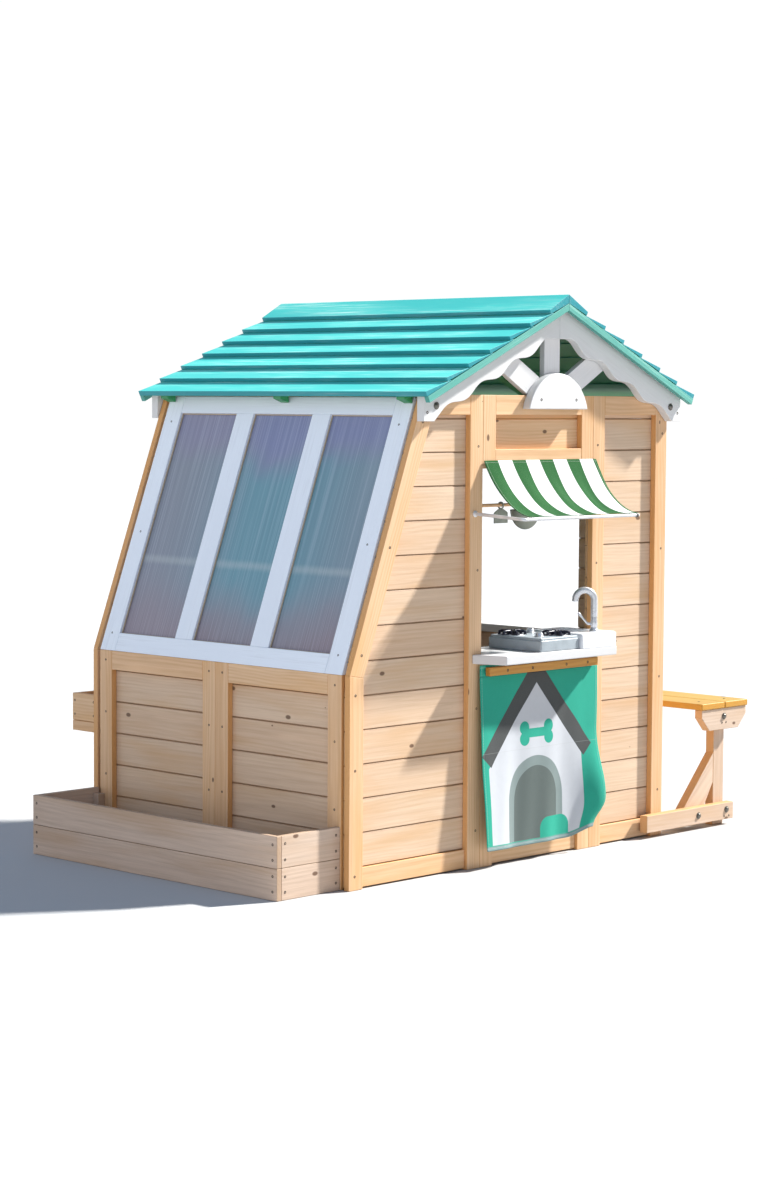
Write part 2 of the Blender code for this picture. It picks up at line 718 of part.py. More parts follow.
# ---------------------------------------------------------------- kitchen
def make_kitchen():
    inside = 1.6 * PLANK
    counter = [
        (5.215 * PLANK, -GAP),
        (5.61 * PLANK, -COUNTER_OUT),
        (10.82 * PLANK, -COUNTER_OUT),
        (11.235 * PLANK, -GAP),
        (BAY_END - GAP, -GAP),
        (BAY_END - GAP, inside),
        (BAY_START + GAP, inside),
        (BAY_START + GAP, -GAP),
    ]
    prism("kitchen_counter", counter, "Z", KNEE, COUNTER_TOP - GAP, "white_paint")

    stove = block(
        "stove_box",
        (7.30 * PLANK, -0.95 * PLANK, COUNTER_TOP),
        (9.10 * PLANK, BOX_BACK, STOVE_TOP),
        "stove_grey",
    )
    burners = ((7.75 * PLANK, 0.62 * PLANK), (8.62 * PLANK, -0.42 * PLANK))
    for centre in burners:
        low, top = STOVE_TOP - 0.004, STOVE_TOP + 0.008
        plate = [(0, low), (BURNER_R, low), (BURNER_R, top), (0, top)]
        combine(stove, turned("burner", plate, None, 28, centre), "UNION")
    knobs = {"front": (7.72 * PLANK, -0.50 * PLANK), "rear": (8.64 * PLANK, 0.66 * PLANK)}
    for place, centre in knobs.items():
        z = STOVE_TOP + GAP
        profile = [(0, z), (0.0125, z), (0.011, z + 0.009), (0.0085, z + 0.012), (0, z + 0.012)]
        turned("stove_knob_" + place, profile, "silver_plastic", 20, centre, (*centre, z))

    sink = block(
        "sink_box",
        (9.12 * PLANK, -COUNTER_OUT, COUNTER_TOP),
        (10.815 * PLANK, BOX_BACK, SINK_TOP),
        "white_plastic",
    )
    basin = rectangle(9.35 * PLANK, -0.30 * PLANK, 10.58 * PLANK, 0.98 * PLANK)
    cut(sink, basin, "Z", COUNTER_TOP + SINK_FLOOR, SINK_TOP + OVER)
    make_faucet()
    make_curtain()
    make_utensils()


def make_faucet():
    z, top = SINK_TOP + GAP, FAUCET_TOP
    profile = [(0, z), (0.013, z), (0.013, z + 0.004), (0.0095, z + 0.007), (0.0095, top), (0, top)]
    turned("faucet_base", profile, "silver_plastic", 24, FAUCET)
    way = Vector((math.cos(SPOUT_WAY), math.sin(SPOUT_WAY), 0.0))
    up = Vector((0.0, 0.0, 1.0))
    foot = Vector((*FAUCET, top + GAP))
    path = [foot, Vector((*FAUCET, (top + SPOUT_SPRING) / 2))]
    centre = Vector((*FAUCET, SPOUT_SPRING)) + way * SPOUT_BEND
    for i in range(13):
        angle = math.pi * i / 12
        path.append(centre - SPOUT_BEND * (way * math.cos(angle) - up * math.sin(angle)))
    path.append(path[-1] - up * 0.004)
    tube("faucet_spout", path, SPOUT_R, "silver_plastic", 14, foot)

    hub = Vector((*FAUCET, LEVER_Z)) + way * (0.0095 + GAP)
    lever = [hub, hub + way * 0.006, hub + way * 0.010 + up * 0.003, hub + way * 0.034 + up * 0.031]
    tube("faucet_lever", lever, LEVER_R, "silver_plastic", 10, hub)


def make_curtain():
    front = -0.0105
    block(
        "curtain_batten",
        (5.64 * PLANK, -0.030, 5.87 * PLANK),
        (10.76 * PLANK, -0.0145, 6.13 * PLANK),
        "cedar",
    )
    axis = (BAY_START, *CURTAIN_AXIS)
    block(
        "curtain",
        (5.42 * PLANK, -0.0135, 0.50 * PLANK),
        (10.97 * PLANK, front, CURTAIN_AXIS[1]),
        "curtain_cloth",
        axis,
    )


def make_utensils():
    """A rail across the window with a turner and a ladle that hang from it by their rings."""
    y, z = UTENSIL_AXIS
    rail = [(BAY_START + GAP, y, z), (BAY_END - GAP, y, z)]
    tube("utensil_rail", rail, RAIL_R, "cedar", 12)
    centre_z = z - (RING_R - WIRE_R - RAIL_R) + 0.0004  # the ring rests on the rail
    low = centre_z - RING_R
    for name, x in (("spatula", 6.644 * PLANK), ("ladle", 7.765 * PLANK)):
        ring = [(x, u, v) for u, v in arc((y, centre_z), RING_R, 0, 360, 20)[:-1]]
        piece = tube(name, ring, WIRE_R, "utensil_grey", 8, (x, y, z), closed=True)
        if name == "spatula":
            outline = [(x - BLADE_HALF, BLADE_LOW), (x + BLADE_HALF, BLADE_LOW)]
            for side in (1, -1):
                shoulder = [(x + side * BLADE_HALF, low - 0.010), (x + side * 0.006, low + 0.001)]
                outline += shoulder[::side]
            combine(piece, prism("blade", outline, "Y", y - 0.002, y + 0.002, None), "UNION")
        else:
            combine(piece, turned("cup", cup_profile(), None, 28, (x, y)), "UNION")
            bar_low = (x - CUP_R + CUP_WALL / 2, y - 0.004, CUP_RIM - 0.004)
            bar_high = (x + CUP_R - CUP_WALL / 2, y + 0.004, CUP_RIM - 0.0005)
            combine(piece, block("bar", bar_low, bar_high, None), "UNION")
            neck_low = (x - 0.004, y - 0.002, CUP_RIM - 0.003)
            combine(piece, block("neck", neck_low, (x + 0.004, y + 0.002, low + 0.001), None), "UNION")


def cup_profile():
    """The ladle's round-bottomed cup: its outer side from the bottom up, and its inner side down."""
    steps = 7
    depth = CUP_RIM - CUP_LOW
    outer, inner = [], []
    for i in range(steps + 1):
        angle = math.pi / 2 * i / steps
        across, rise = math.sin(angle), 1 - math.cos(angle)
        outer.append((CUP_R * across, CUP_LOW + depth * rise))
        inner.append(((CUP_R - CUP_WALL) * across, CUP_LOW + CUP_WALL + (depth - CUP_WALL) * rise))
    return outer + inner[::-1]


def make_awning():
    """A bent rod pushed into the two stiles, and the sagging cloth from the header down to it."""
    left = 5.29 * PLANK
    right = 10.74 * PLANK
    rear = 10.77 * PLANK
    rod = [
        (left, -GAP, rear),
        (left, -AWNING_OUT, AWNING_BAR),
        (right, -AWNING_OUT, AWNING_BAR),
        (11.10 * PLANK, -GAP - 0.2 * ROD_R, rear),
    ]
    tube("awning_frame", rounded(rod, 0.02), ROD_R, "awning_bar", 10)

    sheet = 0.0028
    start = Vector((-0.004, AWNING_TOP))
    end = Vector((-AWNING_OUT - 0.001, AWNING_BAR + ROD_R + 0.0035))
    pull = Vector((-0.60 * PLANK, 10.85 * PLANK))
    steps = 14
    curve = []
    for i in range(steps + 1):
        t = i / steps
        curve.append((1 - t) ** 2 * start + 2 * t * (1 - t) * pull + t**2 * end)
    upper = []
    lower = []
    for i, point in enumerate(curve):
        ahead = curve[min(i + 1, steps)] - curve[max(i - 1, 0)]
        normal = Vector((-ahead.y, ahead.x)).normalized()
        if normal.y < 0:
            normal = -normal
        upper.append(tuple(point + normal * sheet / 2))
        lower.append(tuple(point - normal * sheet / 2))
    outline = upper + lower[::-1]
    prism("awning_fabric", outline, "X", 5.63 * PLANK, 10.91 * PLANK, "awning_cloth")


# ---------------------------------------------------------------- bench, planters
def make_bench():
    seam = sum(SEAT_X) / 2
    y0 = -SEAT_OVERHANG
    y1 = DEPTH + SEAT_OVERHANG
    low = SEAT_TOP - SEAT_T
    block("seat_board_inner", (SEAT_X[0], y0, low), (seam - 0.0015, y1, SEAT_TOP), "seat_wood")
    block("seat_board_outer", (seam + 0.0015, y0, low), (SEAT_X[1], y1, SEAT_TOP), "seat_wood")
    for place, face, way in (("front", 0.0, -1.0), ("rear", DEPTH, 1.0)):
        outer = sorted((face + way * GAP, face + way * BRACKET_T))
        inner = sorted((face - way * GAP, face - way * WALL_T))
        make_bracket("bench_bracket_" + place, low - GAP, outer)
        make_leg("bench_leg_" + place, low - GAP, inner)
        block(
            "bench_rail_" + place,
            (13.42 * PLANK, outer[0], 0.19 * PLANK),
            (18.08 * PLANK, outer[1], 0.75 * PLANK),
            "cedar",
        )


def make_bracket(name, top, span):
    """The board under the ends of the seat, with its lower corners cut off."""
    x0, x1 = 16.27 * PLANK, 18.71 * PLANK
    bottom = 3.25 * PLANK
    corner_z = 3.70 * PLANK
    chamfer = 0.42 * PLANK
    outline = [(x0, top), (x0, corner_z), (x0 + chamfer, bottom), (x1 - chamfer, bottom)]
    outline += [(x1, corner_z), (x1, top)]
    prism(name, outline, "Y", *span, "cedar")


def make_leg(name, top, span):
    """The upright and the brace that leans against it, down to the ground rail."""
    leg = prism(
        name, rectangle(LEG_X - STILE / 2, 0.0, LEG_X + STILE / 2, top), "Y", *span, "cedar"
    )
    x = LEG_X - STILE / 2 + 0.004
    brace = [(x, 2.45 * PLANK), (x, 1.45 * PLANK), (16.55 * PLANK, 0.20 * PLANK)]
    brace += [(15.38 * PLANK, 0.20 * PLANK), (15.62 * PLANK, 0.58 * PLANK)]
    combine(leg, prism("brace", brace, "Y", *span, None), "UNION")


def make_planters():
    start = 0.36 * PLANK
    end = 11.36 * PLANK
    outer = -PLANTER_OUT
    seam = PLANTER_H / 2
    board = block(
        "planter_long_side", (outer, start, 0.0), (outer + BOARD_T, end, PLANTER_H), "cedar"
    )
    groove = [(outer - 0.001, seam - 0.0015), (outer + 0.002, seam), (outer - 0.001, seam + 0.0015)]
    cut(board, groove, "Y", start - OVER, end + OVER)
    for place, y, way in (("front", start, 1.0), ("rear", end, -1.0)):
        span = sorted((y, y + way * BOARD_T))
        side = prism(
            "planter_end_" + place,
            rectangle(outer + BOARD_T + GAP, 0.0, -GAP, PLANTER_H),
            "Y",
            *span,
            "cedar",
        )
        face = y - way * 0.001
        groove = [(face, seam - 0.0015), (face + way * 0.003, seam), (face, seam + 0.0015)]
        cut(side, groove, "X", outer, OVER)

    y0 = DEPTH + GAP
    y1 = DEPTH + FLOWER_BOX_OUT
    low = (0.10 * PLANK, y0, 3.55 * PLANK)
    high = (5.50 * PLANK, y1, 4.75 * PLANK)
    box = block("flower_box", low, high, "cedar")
    inside = rectangle(low[0] + BOARD_T, y0 + BOARD_T, high[0] - BOARD_T, y1 - BOARD_T)
    cut(box, inside, "Z", low[2] + BOARD_T, high[2] + OVER)


clear_scene()
MATERIALS = {name: make_material(name) for name in COLOURS}
make_kitchen_wall()
make_greenhouse_wall()
make_window()
make_bench_wall()
make_back_wall()
make_roof()
make_sunburst()
make_kitchen()
make_awning()
make_bench()
make_planters()
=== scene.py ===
"""The playhouse's looks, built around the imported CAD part."""

import math
import random

import bmesh
import bpy
from mathutils import Matrix, Vector, noise


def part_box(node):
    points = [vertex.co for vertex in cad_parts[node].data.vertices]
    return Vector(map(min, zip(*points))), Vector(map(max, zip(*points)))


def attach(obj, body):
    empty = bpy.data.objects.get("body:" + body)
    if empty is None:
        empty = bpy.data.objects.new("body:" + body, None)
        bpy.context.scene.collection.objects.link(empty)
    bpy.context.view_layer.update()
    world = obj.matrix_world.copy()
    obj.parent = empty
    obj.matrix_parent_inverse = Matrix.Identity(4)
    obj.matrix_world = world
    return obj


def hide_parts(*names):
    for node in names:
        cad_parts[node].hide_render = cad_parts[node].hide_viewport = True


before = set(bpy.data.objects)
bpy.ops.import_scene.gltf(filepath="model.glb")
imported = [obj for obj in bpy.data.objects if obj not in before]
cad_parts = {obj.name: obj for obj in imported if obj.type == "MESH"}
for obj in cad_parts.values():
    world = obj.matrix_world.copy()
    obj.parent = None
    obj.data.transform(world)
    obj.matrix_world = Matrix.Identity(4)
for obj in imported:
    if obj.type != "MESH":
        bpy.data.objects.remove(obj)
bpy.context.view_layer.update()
BOX = {name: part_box(name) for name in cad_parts}
DICE = random.Random(11)
X_WAY, Y_WAY, Z_WAY = (1, 0, 0), (0, 1, 0), (0, 0, 1)
WAY = {"X": X_WAY, "Y": Y_WAY, "Z": Z_WAY}

# The house frame: X along the kitchen wall, Y into the house, Z up, from the greenhouse corner.
P = BOX["kitchen_left_frame"][1][2] / 14.33  # plank pitch
HOUSE = Vector((BOX["kitchen_left_frame"][0][0], BOX["kitchen_left_frame"][0][1], 0.0))
GAP = 0.0003  # between boards that meet

# Walls. A wall is a frame of stiles and rails with planks behind it.
WALL_W = BOX["kitchen_right_frame"][1][0] - HOUSE.x
DEPTH = BOX["back_left_panel"][1][1] - HOUSE.y
WALL_H = BOX["kitchen_left_frame"][1][2]
FRAME_T = 0.017
WALL_T = 0.028  # frame and planks together
INSIDE = (WALL_T + GAP, DEPTH - WALL_T - GAP)
STILE = 0.049
TOP_RAIL = 0.0515
RAIL_LIFT = 0.004
PLANK_BASE = 0.053  # a seam between two planks, from which the others are counted
RAIL_SET_BACK = 0.0085
FRAME_EDGE = 0.0014  # how far the edges are rounded
WINDOW_EDGE = 0.0016
DOOR_EDGE = 0.0016
BENCH_EDGE = 0.002
BOX_EDGE = 0.0018
STILE_SCREWS = (0.10, 0.42, 0.78, 1.10)
KNEE = 6.25 * P  # where the greenhouse wall starts to lean
LEAN = math.atan2(3.024, 8.117)
BAY_START = 5.63 * P
BAY_END = 10.82 * P
HEADER_BOTTOM = 12.12 * P
SNACK_START = 3.40 * P
SNACK_END = 8.06 * P
SNACK_TOP = 12.4 * P

# Roof. Slats are counted from the ridge down.
PITCH = math.radians(24.6)
RIDGE_X = 8.785 * P
RIDGE_LINE = 17.33 * P
RIDGE_TOP = 17.42 * P
SLATS = 7
SLAT_STEP = 1.003 * P
SLAT_BUTT = 0.0115
SLAT_UNDER = 0.17 * P

# Tap: the spout's radius, its bend's radius, where the bend starts and which way it faces.
SPOUT_R = 0.0096
SPOUT_BEND = 0.30 * P
SPOUT_SPRING = 7.976 * P
SPOUT_WAY = math.radians(140)


def house(x, y, z):
    """A place in the house frame, in the CAD's frame."""
    return Vector((x, y, z)) + HOUSE


def local_box(name):
    """A CAD node's corners in the house frame."""
    low, high = BOX[name]
    return Vector(low) - HOUSE, Vector(high) - HOUSE


def linked(name, data):
    """A new object in the scene."""
    obj = bpy.data.objects.new(name, data)
    bpy.context.scene.collection.objects.link(obj)
    return obj


def store(mesh, name, kind, domain, values):
    """Keeps a number or a vector for each point or face, for a material to read."""
    if kind == "FLOAT_VECTOR":
        field, values = "vector", [part for vector in values for part in vector]
    else:
        field = "value"
    mesh.attributes.new(name, kind, domain).data.foreach_set(field, values)


# ---------------------------------------------------------------- shader helpers
class Shader:
    """Writes a material's node network: sockets and numbers go in, sockets come out."""

    def __init__(self, name):
        self.material = bpy.data.materials.new(name)
        self.material.use_nodes = True
        self.tree = self.material.node_tree
        self.bsdf = self.tree.nodes["Principled BSDF"]

    def put(self, socket, value):
        if isinstance(value, bpy.types.NodeSocket):
            self.tree.links.new(value, socket)
        elif isinstance(value, tuple) and len(value) == 3 and socket.type == "RGBA":
            socket.default_value = (*value, 1.0)
        else:
            socket.default_value = value

    def node(self, kind, inputs=(), **settings):
        made = self.tree.nodes.new(kind)
        for key, value in settings.items():
            setattr(made, key, value)
        for key, value in dict(inputs).items():
            self.put(made.inputs[key], value)
        return made

    def math(self, operation, a, b=0.0, c=0.0, clamp=False):
        made = self.node("ShaderNodeMath", operation=operation, use_clamp=clamp)
        for socket, value in zip(made.inputs, (a, b, c)):
            self.put(socket, value)
        return made.outputs[0]

    def add(self, a, b):
        return self.math("ADD", a, b)

    def sub(self, a, b):
        return self.math("SUBTRACT", a, b)

    def mul(self, a, b):
        return self.math("MULTIPLY", a, b)

    def least(self, *values):
        found = values[0]
        for value in values[1:]:
            found = self.math("MINIMUM", found, value)
        return found

    def most(self, *values):
        found = values[0]
        for value in values[1:]:
            found = self.math("MAXIMUM", found, value)
        return found

    def between(self, value, low, high, to_low=0.0, to_high=1.0):
        """The value's smooth step from low to high."""
        made = self.node("ShaderNodeMapRange", interpolation_type="SMOOTHSTEP")
        for key, part in zip(range(5), (value, low, high, to_low, to_high)):
            self.put(made.inputs[key], part)
        return made.outputs[0]

    def mix(self, factor, a, b, mode="MIX"):
        made = self.node("ShaderNodeMix", data_type="RGBA", blend_type=mode)
        self.put(made.inputs[0], factor)
        self.put(made.inputs[6], a)
        self.put(made.inputs[7], b)
        return made.outputs[2]

    def attribute(self, name, output="Fac"):
        return self.node("ShaderNodeAttribute", attribute_name=name).outputs[output]

    def split(self, vector):
        return self.node("ShaderNodeSeparateXYZ", {0: vector}).outputs

    def vector(self, x, y, z=0.0):
        return self.node("ShaderNodeCombineXYZ", {0: x, 1: y, 2: z}).outputs[0]

    def noise(self, vector, scale=1.0, detail=2.0, roughness=0.5):
        inputs = {"Vector": vector, "Scale": scale, "Detail": detail, "Roughness": roughness}
        return self.node("ShaderNodeTexNoise", inputs).outputs[0]

    def bump(self, height, distance, strength=1.0):
        inputs = {"Height": height, "Distance": distance, "Strength": strength}
        self.put(self.bsdf.inputs["Normal"], self.node("ShaderNodeBump", inputs).outputs[0])

    def set(self, **values):
        names = {
            "color": "Base Color",
            "rough": "Roughness",
            "metal": "Metallic",
            "coat": "Coat Weight",
            "sheen": "Sheen Weight",
            "spec": "Specular IOR Level",
            "clear": "Transmission Weight",
            "ior": "IOR",
        }
        for key, value in values.items():
            self.put(self.bsdf.inputs[names[key]], value)
        return self


def board_pattern(shader):
    """Patterns in a board's own frame: (rings, fibres, knots, patches, tone, rim), each 0 to 1."""
    x, y, z = shader.split(shader.attribute("grain", "Vector"))
    tone = shader.attribute("tone")
    rim = shader.attribute("rim")
    slow = shader.vector(shader.mul(x, 1.5), shader.mul(y, 5.0), shader.mul(z, 5.0))
    wobble = shader.mul(shader.sub(shader.noise(slow, 1.0, 3.0), 0.5), 0.055)
    side = shader.add(shader.add(y, wobble), shader.mul(shader.sub(tone, 0.5), 0.07))
    under = shader.add(shader.add(z, 0.016), shader.mul(tone, 0.03))
    radius = shader.math("SQRT", shader.add(shader.mul(side, side), shader.mul(under, under)))
    spread = shader.add(shader.mul(radius, 2 * math.pi / 0.0085), shader.mul(wobble, 60.0))
    rings = shader.between(shader.math("SINE", spread), -0.7, 1.0)
    fine = shader.vector(shader.mul(x, 9.0), shader.mul(y, 620.0), shader.mul(z, 620.0))
    coarse = shader.vector(shader.mul(x, 5.0), shader.mul(y, 130.0), shader.mul(z, 130.0))
    fibres = shader.noise(fine, 1.0, 3.0, 0.6)
    streaks = shader.noise(coarse, 1.0, 3.0, 0.65)
    fibres = shader.add(shader.mul(fibres, 0.55), shader.mul(streaks, 0.45))
    cells = shader.node(
        "ShaderNodeTexVoronoi",
        {
            "Vector": shader.vector(shader.mul(x, 4.6), shader.add(shader.mul(y, 8.0), tone), tone),
            "Scale": 1.0,
        },
        voronoi_dimensions="2D",
    )
    chance = shader.split(cells.outputs["Color"])[0]
    size = shader.mul(shader.between(chance, 0.35, 0.95), 0.055)
    knots = shader.between(cells.outputs["Distance"], shader.mul(size, 0.55), size, 1.0, 0.0)
    knots = shader.mul(knots, shader.between(chance, 0.40, 0.46))
    knots = shader.mul(knots, shader.between(rim, 0.3, 0.8, 1.0, 0.0))
    wide = shader.vector(shader.mul(x, 2.2), shader.mul(y, 14.0), shader.mul(z, 14.0))
    patches = shader.noise(wide, 1.0, 3.0)
    return rings, fibres, knots, patches, tone, rim


def wood(name, pale, dark, amber, edge, rough=0.55, ring=0.5, cut=None):
    """Softwood with growth rings, fibres and knots; side faces and chamfers take the edge colour, painted
    light and shade, and cut faces may differ.
    """
    s = Shader(name)
    rings, fibres, knots, patches, tone, rim = board_pattern(s)
    grain = s.add(s.mul(rings, ring), s.mul(s.between(fibres, 0.38, 0.62), 0.55))
    color = s.mix(s.mul(grain, 0.70), pale, dark)
    color = s.mix(s.mul(s.between(patches, 0.46, 0.72), 0.55), color, amber)
    color = s.mix(s.mul(s.between(patches, 0.44, 0.26), 0.45), color, tuple(min(1.0, c * 1.18) for c in pale))
    color = s.mix(s.mul(tone, 0.38), color, (0.90, 0.76, 0.64), "MULTIPLY")
    # Painted light and shade: side faces and chamfers take the edge colour. On the cedar, bench, seat and
    # batten this is an amber glow of bounce light; on the planks' seams, the planter and the beads it is a
    # darker shade.
    end = s.mix(s.between(rim, 0.80, 0.96), edge, cut or edge)
    color = s.mix(s.mul(rim, 0.68), color, end)
    color = s.mix(s.mul(knots, 0.85), color, (0.11, 0.05, 0.025))
    s.set(color=color, rough=s.between(fibres, 0.2, 0.9, rough - 0.08, rough + 0.15), spec=0.4)
    s.bump(s.add(s.mul(rings, 0.25), s.sub(fibres, s.mul(knots, 0.8))), 0.0004, 0.5)
    return s.material


def painted(name, color, streak, edge, rough=0.45, amount=0.5, underside=None):
    """Paint over boards: the grain shows through in thin streaks, worn patches take the edge colour, and side
    faces take it too as painted shade.
    """
    s = Shader(name)
    rings, fibres, _, patches, tone, rim = board_pattern(s)
    lines = s.mul(s.between(fibres, 0.47, 0.66), s.between(patches, 0.36, 0.60))
    look = s.mix(s.mul(lines, amount), color, streak)
    worn = s.between(patches, 0.62, 0.38)
    look = s.mix(s.mul(worn, 0.16), look, edge)
    look = s.mix(s.mul(tone, 0.10), look, edge)
    # Painted shade: side faces and chamfers take the edge colour, as on the roof slats' butt faces.
    look = s.mix(s.mul(rim, 0.75), look, edge)
    if underside:
        normal = s.node("ShaderNodeNewGeometry").outputs["True Normal"]
        down = s.between(s.split(normal)[2], -0.6, -0.4, 1.0, 0.0)
        look = s.mix(down, look, underside)
    s.set(color=look, rough=s.between(fibres, 0.2, 0.9, rough - 0.07, rough + 0.13))
    s.bump(s.add(s.mul(rings, 0.4), fibres), 0.0003, 0.45)
    return s.material


def plain(name, color, rough=0.4, metal=0.0, coat=0.0, mottle=0.06, grit=900.0):
    """Moulded or plated stuff: faint mottling of colour, and fine scuffs in the gloss."""
    s = Shader(name)
    place = s.node("ShaderNodeTexCoord").outputs["Object"]
    cloud = s.noise(place, 35.0, 3.0)
    fine = s.noise(place, grit, 2.0)
    darker = tuple(c * (1 - 3 * mottle) for c in color)
    look = s.mix(s.between(cloud, 0.3, 0.8), color, darker)
    s.set(color=look, metal=metal, coat=coat)
    s.set(rough=s.between(s.add(s.mul(cloud, 0.6), s.mul(fine, 0.4)), 0.3, 0.7, rough - 0.06, rough + 0.10))
    s.bump(fine, 0.00008, 0.35)
    return s.material


def weave(s, u, v, thread=0.0011):
    """Height of a plain weave, 0 to 1, from flat cloth coordinates in metres."""
    across = s.math("SINE", s.mul(u, 2 * math.pi / thread))
    along = s.math("SINE", s.mul(v, 2 * math.pi / thread))
    return s.add(s.mul(s.mul(across, along), 0.25), s.add(s.mul(s.math("ABSOLUTE", across), 0.25), 0.4))


def stitches(s, edge, run, offset=0.007, pitch=0.0042):
    """A line of stitches parallel to an edge: edge is the distance from it, run the distance along."""
    line = s.between(s.math("ABSOLUTE", s.sub(edge, offset)), 0.0004, 0.0009, 1.0, 0.0)
    dash = s.between(s.math("SINE", s.mul(run, 2 * math.pi / pitch)), -0.55, -0.2)
    return s.mul(line, dash)


def cloth_material(name, paint, width, length):
    """Woven cloth: paint(shader, u, v) gives its colour; hems are stitched on all four sides."""
    s = Shader(name)
    u, v, _ = s.split(s.attribute("cloth", "Vector"))
    threads = weave(s, u, v)
    sides = s.least(u, s.sub(width, u))
    ends = s.least(v, s.sub(length, v))
    seam = s.most(stitches(s, sides, v), stitches(s, ends, u))
    color = paint(s, u, v)
    worn = s.noise(s.vector(s.mul(u, 60.0), s.mul(v, 60.0)), 1.0, 3.0)
    color = s.mix(s.mul(s.between(worn, 0.4, 0.8), 0.10), color, (0.75, 0.75, 0.72), "MULTIPLY")
    # A painted highlight on the raised threads of the weave.
    color = s.mix(s.mul(s.between(threads, 0.35, 0.75), 0.015), color, (1.0, 1.0, 1.0))
    color = s.mix(s.mul(seam, 0.35), color, (0.80, 0.82, 0.78))
    s.set(color=color, rough=0.85, sheen=0.02, spec=0.12)
    folded = s.between(s.least(sides, ends), 0.0088, 0.0096, 1.0, 0.0)
    s.bump(s.add(s.add(s.mul(threads, 0.4), s.mul(seam, -0.9)), s.mul(folded, 0.8)), 0.0005, 0.7)
    return s.material


# ---------------------------------------------------------------- boards
def prism_shape(outline, axis, start, end):
    """A bmesh of the outline, (Y, Z), (X, Z) or (X, Y) points, extruded along X, Y or Z."""
    shape = bmesh.new()

    def spread(u, v, along):
        return {"X": (along, u, v), "Y": (u, along, v), "Z": (u, v, along)}[axis]

    face = shape.faces.new([shape.verts.new(spread(u, v, start)) for u, v in outline])
    shift = Vector(spread(0, 0, end)) - Vector(spread(0, 0, start))
    grown = bmesh.ops.extrude_face_region(shape, geom=[face])
    moved = [item for item in grown["geom"] if isinstance(item, bmesh.types.BMVert)]
    bmesh.ops.translate(shape, verts=moved, vec=shift)
    bmesh.ops.recalc_face_normals(shape, faces=shape.faces)
    return shape


def soften(shape, width, segments=2, least=0.5):
    """Rounds the edges sharper than an angle, in radians."""
    sharp = [e for e in shape.edges if len(e.link_faces) == 2 and e.calc_face_angle() > least]
    bmesh.ops.bevel(
        shape, geom=sharp, offset=width, segments=segments, profile=0.6, affect="EDGES", clamp_overlap=True
    )


class Timber:
    """Boards gathered in one piece. Each has its own grain direction, tone and random stretch of grain."""

    def __init__(self, name, material, replaces=(), body="house", slot=None):
        self.name = name
        self.material = material
        self.replaces = replaces
        self.body = body
        self.slot = slot
        self.points = []
        self.faces = []
        self.grain = []
        self.tone = []
        self.rim = []

    def board(self, shape, along, normal, tone=None):
        """Adds a closed bmesh whose grain runs along one direction and whose face looks along another."""
        along = Vector(along).normalized()
        across = Vector(normal).cross(along).normalized()
        depth = along.cross(across)
        shape.verts.index_update()
        corners = [v.co for v in shape.verts]
        low = Vector([min(c[i] for c in corners) for i in range(3)])
        high = Vector([max(c[i] for c in corners) for i in range(3)])
        centre = (low + high) / 2
        stretch = DICE.uniform(0, 60)
        turn = DICE.choice((-1, 1))
        tone = DICE.random() if tone is None else tone
        base = len(self.points)
        for co in corners:
            place = co - centre
            self.points.append(co + HOUSE)
            self.grain.append((stretch + turn * place.dot(along), turn * place.dot(across), place.dot(depth)))
            self.tone.append(tone)
        for face in shape.faces:
            self.faces.append([v.index + base for v in face.verts])
            self.rim.append(1.0 - abs(face.normal.dot(depth)) ** 4)
        shape.free()

    def prism(self, outline, axis, start, end, along, bevel=0.0012, segments=2, tone=None):
        normal = WAY[axis]
        shape = prism_shape(outline, axis, start, end)
        soften(shape, bevel, segments)
        self.board(shape, along, normal, tone)

    def bar(self, low, high, along, normal, bevel=0.0012, segments=2, tone=None):
        outline = rectangle(low[0], low[1], high[0], high[1])
        shape = prism_shape(outline, "Z", low[2], high[2])
        soften(shape, bevel, segments)
        self.board(shape, along, normal, tone)

    def make(self):
        mesh = bpy.data.meshes.new(self.name)
        mesh.from_pydata([tuple(p) for p in self.points], [], self.faces)
        store(mesh, "grain", "FLOAT_VECTOR", "POINT", self.grain)
        store(mesh, "tone", "FLOAT", "POINT", self.tone)
        store(mesh, "rim", "FLOAT", "FACE", self.rim)
        mesh.materials.append(self.material)
        mesh.shade_smooth()
        obj = linked(self.name, mesh)
        obj.modifiers.new("Weighted", "WEIGHTED_NORMAL").weight = 90
        return settle(obj, self.body, self.replaces)


def settle(obj, body, replaces=()):
    """Tells the frame which body a piece rides on, and hides the nodes it stands for."""
    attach(obj, body)
    if replaces:
        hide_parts(*replaces)
    return obj


